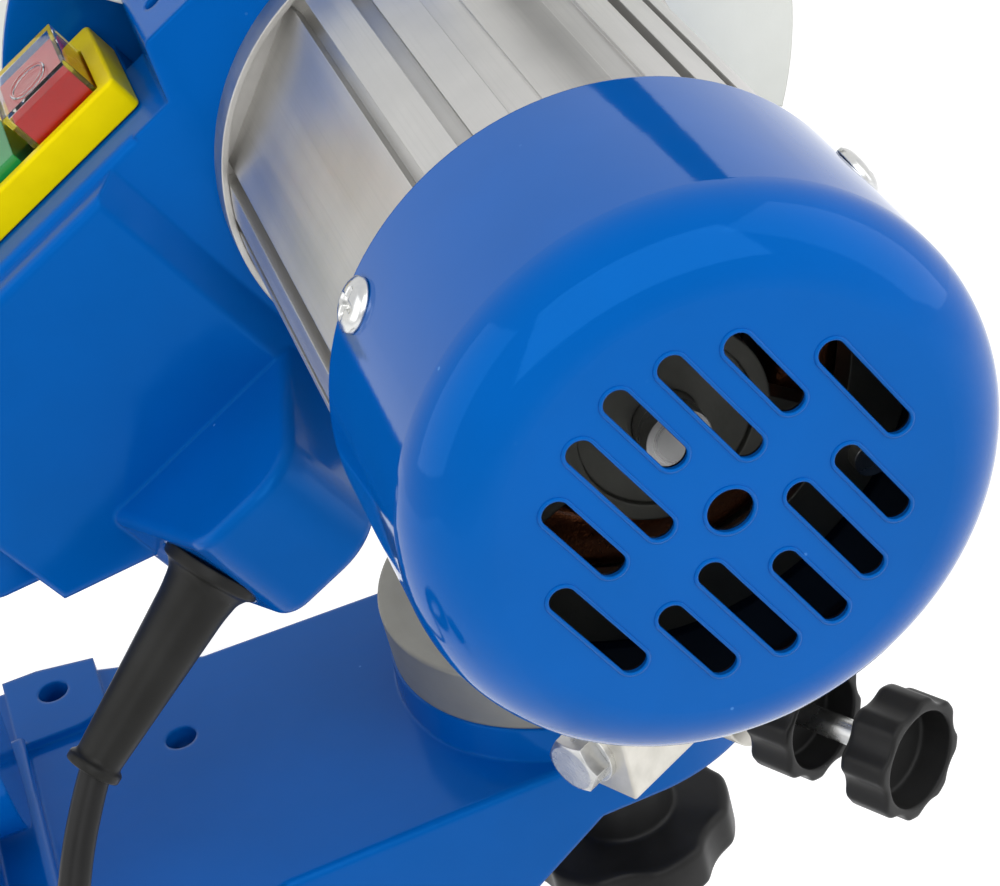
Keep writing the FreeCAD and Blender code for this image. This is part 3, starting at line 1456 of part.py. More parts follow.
def make_wheel():
    gap = mm.running_gap
    bore = mm.shaft_radius + gap
    half = mm.wheel_thickness / 2
    inner_start = -half - mm.inner_flange_length
    node("wheel_inner_flange", fuse(
        ring("X", shaft_at, mm.flange_disc_radius, bore, inner_start, -half),
        ring("X", shaft_at, mm.wheel_bore_radius - gap, bore, -half, mm.flange_spigot_length - half),
    ), HEAD)
    node("grinding_wheel", ring("X", shaft_at, mm.wheel_radius, mm.wheel_bore_radius, -half, half), HEAD)
    outer_end = half + mm.outer_flange_length
    node("wheel_outer_flange", ring("X", shaft_at, mm.flange_disc_radius, bore, half, outer_end), HEAD)
    nut_end = outer_end + mm.nut_length
    node("wheel_nut", cut(
        hexagon("X", shaft_at, mm.nut_flats, outer_end, nut_end),
        rod("X", shaft_at, bore, outer_end - mm.overrun, nut_end + mm.overrun),
    ), HEAD)


def make_guard():
    gap = mm.running_gap
    left = -mm.arm_front_right
    plate_right = left + mm.guard_wall
    cover_left = left + mm.guard_depth
    cover_right = cover_left + mm.guard_wall
    first, middle, last = -mm.guard_front_angle, mm.guard_plate_angle, mm.guard_rear_angle
    inner = mm.guard_radius - mm.guard_wall
    post_ways = [-mm.post_first_angle + mm.post_spread_angle * i for i in range(3)]
    post_at = (0, mm.post_circle)
    screw_start = cover_right - mm.guard_screw_length
    posts = [spun(rod("X", post_at, mm.post_radius, left, cover_left), way) for way in post_ways]
    post_holes = [
        spun(rod("X", post_at, mm.guard_screw_radius + gap, screw_start - gap, cover_right + mm.overrun), way)
        for way in post_ways
    ]
    plate_holes = [
        spun(rod("X", (0, plate_screw_circle), mm.plate_screw_radius + gap, left - mm.overrun,
                 plate_right + mm.overrun), way)
        for way in around(3, mm.plate_screw_angle)
    ]
    plate = common(
        ring("X", shaft_at, mm.guard_radius, mm.guard_hole_radius, left, plate_right),
        sector(first, middle, left - mm.overrun, plate_right + mm.overrun),
    )
    disc = ring("X", shaft_at, mm.plate_disc_radius, mm.guard_hole_radius, left, plate_right)
    rim = common(
        ring("X", shaft_at, mm.guard_radius, inner, plate_right, cover_left),
        sector(first, middle, left, cover_right),
    )
    rear_rim = common(
        ring("X", shaft_at, mm.guard_radius, inner, -mm.guard_rim_left, cover_left),
        sector(middle, last, left, cover_right),
    )
    node("guard_body", cut(fuse(plate, disc, rim, rear_rim, *posts), *post_holes, *plate_holes), HEAD)
    cover = common(
        rod("X", shaft_at, mm.guard_radius, cover_left, cover_right),
        sector(first, last, left, cover_right + mm.overrun),
    )
    cover_holes = [
        spun(rod("X", post_at, mm.guard_screw_radius + gap, cover_left - mm.overrun,
                 cover_right + mm.overrun), way)
        for way in post_ways
    ]
    node("guard_cover", cut(cover, *cover_holes), HEAD)
    head_end = cover_right + mm.guard_screw_head_height
    screws = []
    for way in post_ways:
        screws.append(spun(rod("X", post_at, mm.guard_screw_radius, screw_start, cover_right), way))
        screws.append(spun(rod("X", post_at, mm.guard_screw_head_radius, cover_right, head_end), way))
    node("guard_screws", fuse(*screws), HEAD)
    screw_at = (0, plate_screw_circle)
    tip = left - mm.plate_screw_bite + gap
    head_end = plate_right + mm.plate_screw_head_height
    screws = []
    for way in around(3, mm.plate_screw_angle):
        screws.append(spun(rod("X", screw_at, mm.plate_screw_radius, tip, plate_right), way))
        screws.append(spun(rod("X", screw_at, mm.plate_screw_head_radius, plate_right, head_end), way))
    node("guard_plate_screws", fuse(*screws), HEAD)


# Head: the switch

def make_switch():
    gap = mm.running_gap
    x_out, y_out = (-mm.bezel_left, -mm.bezel_right), (mm.bezel_front, mm.bezel_rear)
    x_in = (-mm.bezel_opening_left, -mm.bezel_opening_right)
    y_in = (mm.bezel_opening_front, mm.bezel_opening_rear)
    gasket_top = mm.arm_top + mm.gasket_thickness
    bezel_top = gasket_top + mm.bezel_height
    opening = (mm.arm_top - mm.overrun, bezel_top + mm.overrun)
    inset = mm.gasket_inset
    gasket = box((x_out[0] + inset, x_out[1] - inset), (y_out[0] + inset, y_out[1] - inset),
                 (mm.arm_top, gasket_top))
    node("switch_gasket", cut(gasket, box(x_in, y_in, opening)), HEAD)
    corner = mm.bezel_corner
    frame = prism("XY", [
        (x_out[0], y_out[0], corner),
        (x_out[1], y_out[0], corner),
        (x_out[1], y_out[1], corner),
        (x_out[0], y_out[1], corner),
    ], gasket_top, bezel_top)
    frame = rounded(frame, mm.bezel_edge, level(bezel_top))
    node("switch_bezel", cut(frame, box(x_in, y_in, opening)), HEAD)

    face = mm.arm_top + mm.switch_face_rise
    foot = face - mm.button_foot
    wall = mm.cap_box_wall + gap
    button_x = (-mm.button_left, -mm.button_right)
    start_y = (mm.start_button_front, mm.start_button_front + mm.button_length)
    lid_x = (x_in[0] + mm.seat_gap, x_in[1] - mm.seat_gap)
    lid_y = (y_in[0] + mm.seat_gap, y_in[0] + mm.seat_gap + mm.stop_button_length)
    core_x = (lid_x[0] + wall, lid_x[1] - wall)
    core_y = (lid_y[0] + wall, lid_y[1] - wall)
    pocket = (face - mm.button_pocket_depth, face + mm.overrun)
    node("switch_body", cut(
        box((x_in[0] + gap, x_in[1] - gap), (y_in[0] + gap, y_in[1] - gap),
            (mm.arm_top - mm.switch_depth, face)),
        box((core_x[0] - gap, core_x[1] + gap), (core_y[0] - gap, core_y[1] + gap), pocket),
        box((button_x[0] - gap, button_x[1] + gap), (start_y[0] - gap, start_y[1] + gap), pocket),
    ), HEAD)
    node("stop_button", box(core_x, core_y, (foot, face + mm.stop_button_height)), HEAD)
    node("start_button", box(button_x, start_y, (foot, face + mm.start_button_height)), HEAD)
    lid_bottom = face + mm.button_travel + mm.seat_gap
    lid_top = face + mm.cap_box_height
    node("stop_button_cover", cut(
        box(lid_x, lid_y, (lid_bottom, lid_top)),
        box((lid_x[0] + mm.cap_box_wall, lid_x[1] - mm.cap_box_wall),
            (lid_y[0] + mm.cap_box_wall, lid_y[1] - mm.cap_box_wall),
            (lid_bottom - mm.overrun, lid_top - mm.cap_box_wall)),
    ), HEAD)


def make_handle():
    rod_centre = (-mm.handle_across, mm.handle_above)
    node("handle_rod", rod("Y", rod_centre, mm.handle_rod_radius, -mm.handle_rod_end, -mm.handle_seat), HEAD)
    bore = mm.handle_rod_radius + mm.running_gap
    node("handle_grip", turned("Y", rod_centre, [
        (0, -mm.grip_far),
        (mm.grip_radius, -mm.grip_far, mm.grip_rounding),
        (mm.grip_radius, -mm.grip_near, mm.grip_rounding),
        (bore, -mm.grip_near),
        (bore, -mm.handle_rod_end - mm.running_gap),
        (0, -mm.handle_rod_end - mm.running_gap),
    ]), HEAD)


# Power cord

def make_relief():
    ring_start = mm.relief_length - mm.relief_ring_length
    node("strain_relief", turned("Y", (0, 0), [
        (0, -mm.relief_flange_depth),
        (mm.relief_flange_radius, -mm.relief_flange_depth),
        (mm.relief_flange_radius, mm.relief_flange_step),
        (mm.relief_base_radius, mm.relief_flange_step),
        (mm.relief_tip_radius, ring_start),
        (mm.relief_ring_radius, ring_start),
        (mm.relief_ring_radius, mm.relief_length),
        (0, mm.relief_length),
    ]), f"{HEAD} * {RELIEF}")


def make_free_cord():
    """Straight runs with tangent arcs, each arc as large as its two runs allow."""
    doc.recompute()
    relief = nodes["strain_relief"].Placement
    ends = (mm.relief_length.number, (mm.relief_length + mm.cord_lead).number)
    route = [relief.multVec(FreeCAD.Vector(0, end, 0)) for end in ends]
    route += [FreeCAD.Vector(*point) for point in CORD_ROUTE]
    edges, radii, at = [], [], route[0]
    for i in range(1, len(route) - 1):
        back, on = route[i - 1] - route[i], route[i + 1] - route[i]
        turn = math.pi - back.getAngle(on)
        shorter = min(back.Length, on.Length)
        tangent = CORD_RUN_SHARE * shorter
        radii.append(tangent / math.tan(turn / 2))
        start = route[i] + back.normalize() * tangent
        end = route[i] + on.normalize() * tangent
        inward = (back + on).normalize()
        middle = route[i] + inward * (radii[-1] / math.cos(turn / 2) - radii[-1])
        edges.append(Part.LineSegment(at, start).toShape())
        edges.append(Part.Arc(start, middle, end).toShape())
        at = end
    edges.append(Part.LineSegment(at, route[-1]).toShape())
    print("power_cord radii:", ", ".join(f"{radius:.0f}" for radius in radii))
    node("power_cord", swept(edges, mm.cord_radius.number, "PowerCord"))
    return route[-1], (route[-1] - route[-2]).normalize()


def make_coil(start, way):
    """The put-away length: a spiral in, up a layer where it turns back, and out again to the plug."""
    step = mm.coil_step.number
    layer_turns = COIL_TURNS_PER_LAYER + 1 / 4
    middle_turn = layer_turns
    least = mm.coil_radius.number - step * layer_turns / 2
    whole = 2 * layer_turns
    way = FreeCAD.Vector(way.x, way.y, 0).normalize()
    lead_end = start + way * mm.coil_lead.number
    count = int(whole * 4)
    slope = step / (2 * math.pi)

    def on_spiral(turns):
        radius = least + step * abs(turns - middle_turn)
        climbed = min(max((turns - COIL_TURNS_PER_LAYER) * 2, 0), 1)
        rise = step * climbed * climbed * (3 - 2 * climbed)
        climb_way = step * 6 * climbed * (1 - climbed) / math.pi
        angle = 2 * math.pi * turns
        growth = 0 if turns == middle_turn else math.copysign(slope, turns - middle_turn)
        point = FreeCAD.Vector(radius * math.cos(angle), radius * math.sin(angle), rise)
        tangent = FreeCAD.Vector(
            growth * math.cos(angle) - radius * math.sin(angle),
            growth * math.sin(angle) + radius * math.cos(angle),
            climb_way,
        )
        return point, tangent.normalize()

    first_point, first_way = on_spiral(0)
    turn = math.atan2(way.y, way.x) - math.atan2(first_way.y, first_way.x)
    spin = FreeCAD.Placement(FreeCAD.Vector(), FreeCAD.Rotation(FreeCAD.Vector(0, 0, 1), math.degrees(turn)))
    shift = lead_end - spin.multVec(first_point)
    route, ways = [], []
    for i in range(count + 1):
        point, tangent = on_spiral(i / 4)
        route.append(spin.multVec(point) + shift)
        ways.append(spin.multVec(tangent))
    spiral = stations(route, ways)
    end = route[-1] + ways[-1] * mm.plug_lead.number
    edges = [Part.LineSegment(start, lead_end).toShape()] + spiral
    edges.append(Part.LineSegment(route[-1], end).toShape())
    radius = mm.cord_radius.number
    node("cord_coil", swept(edges, radius, "CordCoil"))
    gap = least_self_gap(spiral, radius, math.pi * least)
    print(f"cord_coil: least gap between loops {gap:.2f} mm, centre {shift.x:.1f}, {shift.y:.1f}")
    return end, ways[-1]


def make_plug(start, way):
    """A flat two-pin plug, lying on the bench with its tail on the cord."""
    tail, length = mm.plug_tail, mm.plug_tail + mm.plug_length
    half_wide, half_thick = mm.plug_half_width, mm.plug_half_thickness
    corner = mm.plug_corner
    body = prism("XY", [
        (tail, -half_wide, corner),
        (length, -half_wide, corner / 2),
        (length, half_wide, corner / 2),
        (tail, half_wide, corner),
    ], -half_thick, half_thick)
    body = rounded(body, corner / 2, lambda edge: level(half_thick)(edge) or level(-half_thick)(edge))
    shank = taper("X", (0, 0), mm.relief_tip_radius, mm.plug_tail_radius, 0, tail + corner)
    half_spacing = mm.pin_spacing / 2
    sockets, pins = [], []
    for side in (-1, 1):
        pin_at = (half_spacing * side, 0)
        socket_start = length - mm.pin_seat
        sockets.append(rod("X", pin_at, mm.pin_tang_radius + mm.running_gap, socket_start - mm.running_gap,
                           length + mm.overrun))
        pins.append(rod("X", pin_at, mm.pin_tang_radius, socket_start, length))
        pins.append(rod("X", pin_at, mm.plug_pin_radius, length, length + mm.pin_length))
    laid = FreeCAD.Placement(start, FreeCAD.Rotation(FreeCAD.Vector(1, 0, 0), way))
    for name, item in (("power_plug", cut(fuse(body, shank), *sockets)), ("plug_pins", fuse(*pins))):
        item.Placement = laid
        node(name, item)


def check_document():
    doc.recompute()
    for item in doc.Objects:
        if "Invalid" in item.State or "Error" in item.State:
            raise RuntimeError(f"{item.Name} ({item.Label}) failed: {item.State}")
    for name, item in nodes.items():
        shape = item.Shape
        if shape.isNull() or not shape.isValid() or shape.Volume <= 0:
            raise RuntimeError(f"{name} has no valid solid")


def main():
    make_base_bracket()
    make_pedestal()
    make_vise()
    make_clamp()
    make_chain_stop()
    make_tilt_bracket()
    make_hinge()
    make_return_spring()
    make_arm()
    make_motor_shell()
    make_end_cap()
    make_motor_inside()
    make_wheel()
    make_guard()
    make_switch()
    make_handle()
    make_relief()
    make_plug(*make_coil(*make_free_cord()))
    check_document()
    os.makedirs("parts", exist_ok=True)
    for name, item in nodes.items():
        item.Shape.exportStep(f"parts/{name}.step")
    print(f"{len(nodes)} sub-parts written")


main()
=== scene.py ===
import json
import math

import bmesh
import bpy
import numpy as np
from mathutils import Matrix, Vector


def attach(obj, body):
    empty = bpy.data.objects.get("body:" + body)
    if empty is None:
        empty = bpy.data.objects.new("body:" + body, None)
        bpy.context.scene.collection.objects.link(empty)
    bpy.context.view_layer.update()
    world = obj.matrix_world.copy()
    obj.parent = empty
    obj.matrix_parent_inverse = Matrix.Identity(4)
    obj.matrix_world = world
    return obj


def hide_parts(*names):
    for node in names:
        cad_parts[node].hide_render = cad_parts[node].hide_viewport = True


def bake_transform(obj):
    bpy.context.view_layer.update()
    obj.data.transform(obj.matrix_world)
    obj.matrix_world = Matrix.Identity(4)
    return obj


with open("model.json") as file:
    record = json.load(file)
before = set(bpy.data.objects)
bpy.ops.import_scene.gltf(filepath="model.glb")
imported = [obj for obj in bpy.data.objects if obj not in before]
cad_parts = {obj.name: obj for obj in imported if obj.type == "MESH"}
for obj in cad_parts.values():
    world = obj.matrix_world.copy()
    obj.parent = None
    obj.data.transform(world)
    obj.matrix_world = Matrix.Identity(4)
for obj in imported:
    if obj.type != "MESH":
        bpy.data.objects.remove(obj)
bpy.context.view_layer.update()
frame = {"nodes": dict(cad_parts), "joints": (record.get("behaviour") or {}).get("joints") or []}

print("stage: frame loaded")

# The head leans on its arm; its own axes start on the shaft, in the plane of the wheel
joints = {joint["name"]: joint for joint in frame["joints"]}
shaftPoint = np.array(joints["wheel_spin"]["pos_m"])
armSlope = math.radians(27.3)
headAlong = np.array((0, math.cos(armSlope), -math.sin(armSlope)))
headUp = np.array((0, math.sin(armSlope), math.cos(armSlope)))

# The vise is turned about the boss; its axes run along the jaws, away from the operator and up
viseTurn = math.radians(30)
viseAlong = np.array((math.cos(viseTurn), math.sin(viseTurn), 0))
viseBack = np.array((-math.sin(viseTurn), math.cos(viseTurn), 0))
viseCentre = np.array(joints["vise_turn"]["pos_m"]) * (1, 1, 0)
sideways, backwards, upwards = np.eye(3)


def newObject(name, mesh, body, *nodes):
    piece = bpy.data.objects.new(name, mesh)
    bpy.context.scene.collection.objects.link(piece)
    if body:
        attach(piece, body)
    if nodes:
        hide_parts(*nodes)
    return piece


# camera

cameraSettings = {
    "eye": (-0.5246, -0.0450, 0.4316),
    "right": (-0.2982, -0.9287, -0.2200),
    "up": (0.4859, -0.3462, 0.8026),
    "lens": 91.8,
    "sensorWidth": 36,
    "near": 0.01,
}


def makeCamera(s):
    data = bpy.data.cameras.new("camera")
    data.lens = s["lens"]
    data.sensor_width = s["sensorWidth"]
    data.clip_start = s["near"]
    camera = bpy.data.objects.new("camera", data)
    bpy.context.scene.collection.objects.link(camera)
    right, up = Vector(s["right"]).normalized(), Vector(s["up"]).normalized()
    turn = Matrix((right, up, right.cross(up))).transposed()
    camera.matrix_world = Matrix.Translation(s["eye"]) @ turn.to_4x4()
    bpy.context.scene.camera = camera


makeCamera(cameraSettings)
print("stage: camera")

# shading: every finish is one dictionary, and surface() turns it into nodes on Object coordinates


def addNode(tree, kind, inputs=(), **settings):
    node = tree.nodes.new("ShaderNode" + kind)
    for key, value in settings.items():
        setattr(node, key, value)
    for key, value in dict(inputs).items():
        if isinstance(value, bpy.types.NodeSocket):
            tree.links.new(value, node.inputs[key])
        else:
            node.inputs[key].default_value = value
    return node


def noise(tree, where, size, detail=3, roughness=0.55):
    settings = {"Vector": where, "Scale": 1 / size, "Detail": detail, "Roughness": roughness}
    return addNode(tree, "TexNoise", settings).outputs["Fac"]


def spread(tree, value, low, high, outLow=0.0, outHigh=1.0):
    settings = {"Value": value, "From Min": low, "From Max": high, "To Min": outLow, "To Max": outHigh}
    return addNode(tree, "MapRange", settings, clamp=True).outputs["Result"]


def mixColour(tree, factor, first, second):
    node = tree.nodes.new("ShaderNodeMix")
    node.data_type = "RGBA"
    for socket, value in ((node.inputs[0], factor), (node.inputs[6], first), (node.inputs[7], second)):
        if isinstance(value, bpy.types.NodeSocket):
            tree.links.new(value, socket)
        elif socket.type == "RGBA":
            socket.default_value = (*value[:3], 1)
        else:
            socket.default_value = value
    return node.outputs[2]


def seenShare(tree):
    # 1 where the camera, a gloss or a clear part looks, 0 where the light only lands
    ray = addNode(tree, "LightPath")
    seen = ray.outputs["Is Camera Ray"]
    for name in ("Is Glossy Ray", "Is Transmission Ray"):
        seen = addNode(tree, "Math", {0: seen, 1: ray.outputs[name]}, operation="MAXIMUM").outputs[0]
    return seen


def turnedPlace(tree, place):
    # distance from the local X axis, and the way along it: rings on faces and lines round the sides
    flat = addNode(tree, "VectorMath", {0: place, 1: (0, 1, 1)}, operation="MULTIPLY").outputs[0]
    far = addNode(tree, "VectorMath", {0: flat}, operation="LENGTH").outputs["Value"]
    along = addNode(tree, "SeparateXYZ", {0: place}).outputs[0]
    return addNode(tree, "CombineXYZ", {0: far, 1: along, 2: 0.0}).outputs[0]


def insideOf(tree, place, centre, shell):
    # the mask marks where the cap's inside gets painted shade
    # 1 below the skin of a round shell about the X axis, from the rounding's own circle:
    # |(max(r - (R - c), 0), max(face + c - x, 0))| < c - skin
    radius, face, rounding, depth = (shell[key] for key in ("radius", "face", "rounding", "skin"))
    local = addNode(tree, "VectorMath", {0: place, 1: centre}, operation="SUBTRACT").outputs[0]
    flat = addNode(tree, "VectorMath", {0: local, 1: (0, 1, 1)}, operation="MULTIPLY").outputs[0]
    far = addNode(tree, "VectorMath", {0: flat}, operation="LENGTH").outputs["Value"]
    along = addNode(tree, "SeparateXYZ", {0: local}).outputs[0]
    out = addNode(tree, "Math", {0: far, 1: radius - rounding}, operation="SUBTRACT").outputs[0]
    front = addNode(tree, "Math", {0: face + rounding, 1: along}, operation="SUBTRACT").outputs[0]
    out = addNode(tree, "Math", {0: out, 1: 0.0}, operation="MAXIMUM").outputs[0]
    front = addNode(tree, "Math", {0: front, 1: 0.0}, operation="MAXIMUM").outputs[0]
    both = addNode(tree, "CombineXYZ", {0: out, 1: front, 2: 0.0}).outputs[0]
    reach = addNode(tree, "VectorMath", {0: both}, operation="LENGTH").outputs["Value"]
    return addNode(tree, "Math", {0: reach, 1: rounding - depth}, operation="LESS_THAN").outputs[0]


# a noise's values between its reach become 0 to 1; a speck is a cell's round middle
patchReach, smearReach, speckEdge, speckSoftness = (0.35, 0.68), (0.3, 0.7), (0.06, 0.1), 0.01
plainFinish = {
    "centre": (0, 0, 0), "turn": (0, 0, 0), "stretch": (1, 1, 1), "turned": False, "streaked": False,
    "patchSize": 0.02, "grainDetail": 3, "grainReach": (0.45, 0.6), "smearSize": 0.012, "edge": 0.0006,
}


def surface(name, own):
    s = {**plainFinish, **own}
    material = bpy.data.materials.new(name)
    material.use_nodes = True
    tree = material.node_tree
    shader = tree.nodes["Principled BSDF"]
    place = addNode(tree, "TexCoord").outputs["Object"]
    settings = {
        "Vector": place,
        "Location": s["centre"],
        "Rotation": s["turn"],
        "Scale": s["stretch"],
    }
    local = addNode(tree, "Mapping", settings, vector_type="TEXTURE").outputs[0]
    if s["turned"]:
        local = turnedPlace(tree, local)

    patches = noise(tree, place, s["patchSize"], 4)
    patches = spread(tree, patches, *patchReach)
    colour = mixColour(tree, patches, s["colour"], s["shade"])
    fine = noise(tree, local, s["grainSize"], s["grainDetail"], 0.6)
    if "grainColour" in s:
        colour = mixColour(tree, spread(tree, fine, *s["grainReach"]), colour, s["grainColour"])
    if "specks" in s:
        dots = addNode(tree, "TexVoronoi", {"Vector": place, "Scale": 1 / s["speckSize"]}, feature="F1")
        chance = addNode(tree, "SeparateColor", {0: dots.outputs["Color"]}).outputs[0]
        small = spread(tree, dots.outputs["Distance"], *speckEdge, 1, 0)
        rare = spread(tree, chance, s["speckShare"], s["speckShare"] + speckSoftness, 1, 0)
        both = addNode(tree, "Math", {0: small, 1: rare}, operation="MULTIPLY").outputs[0]
        colour = mixColour(tree, both, colour, s["specks"])
    # painted shade: the cap's inside, below its skin, is coloured near-black
    if "paintedShade" in s:
        colour = mixColour(tree, insideOf(tree, place, s["centre"], s["shell"]), colour, s["paintedShade"])
    tree.links.new(colour, shader.inputs["Base Color"])

    low, high = s["roughness"]
    smears = noise(tree, local if s["streaked"] else place, s["smearSize"], 5)
    tree.links.new(spread(tree, smears, *smearReach, low, high), shader.inputs["Roughness"])

    edges = addNode(tree, "Bevel", {"Radius": s["edge"]}, samples=6)
    bump = {"Height": fine, "Distance": s["grainHeight"], "Strength": 1.0, "Normal": edges.outputs[0]}
    normal = addNode(tree, "Bump", bump).outputs[0]
    if "waves" in s:
        slow = noise(tree, place, s["waves"], 2)
        waves = {"Height": slow, "Distance": s["waveHeight"], "Strength": 1.0, "Normal": normal}
        normal = addNode(tree, "Bump", waves).outputs[0]
    tree.links.new(normal, shader.inputs["Normal"])

    plain = {"Metallic": "metallic", "Coat Weight": "coat", "IOR": "ior", "Transmission Weight": "clear",
             "Specular IOR Level": "specular"}
    for socket, key in plain.items():
        if key in s:
            shader.inputs[socket].default_value = s[key]
    if "tint" in s:
        shader.inputs["Specular Tint"].default_value = (*s["tint"], 1)
    return material


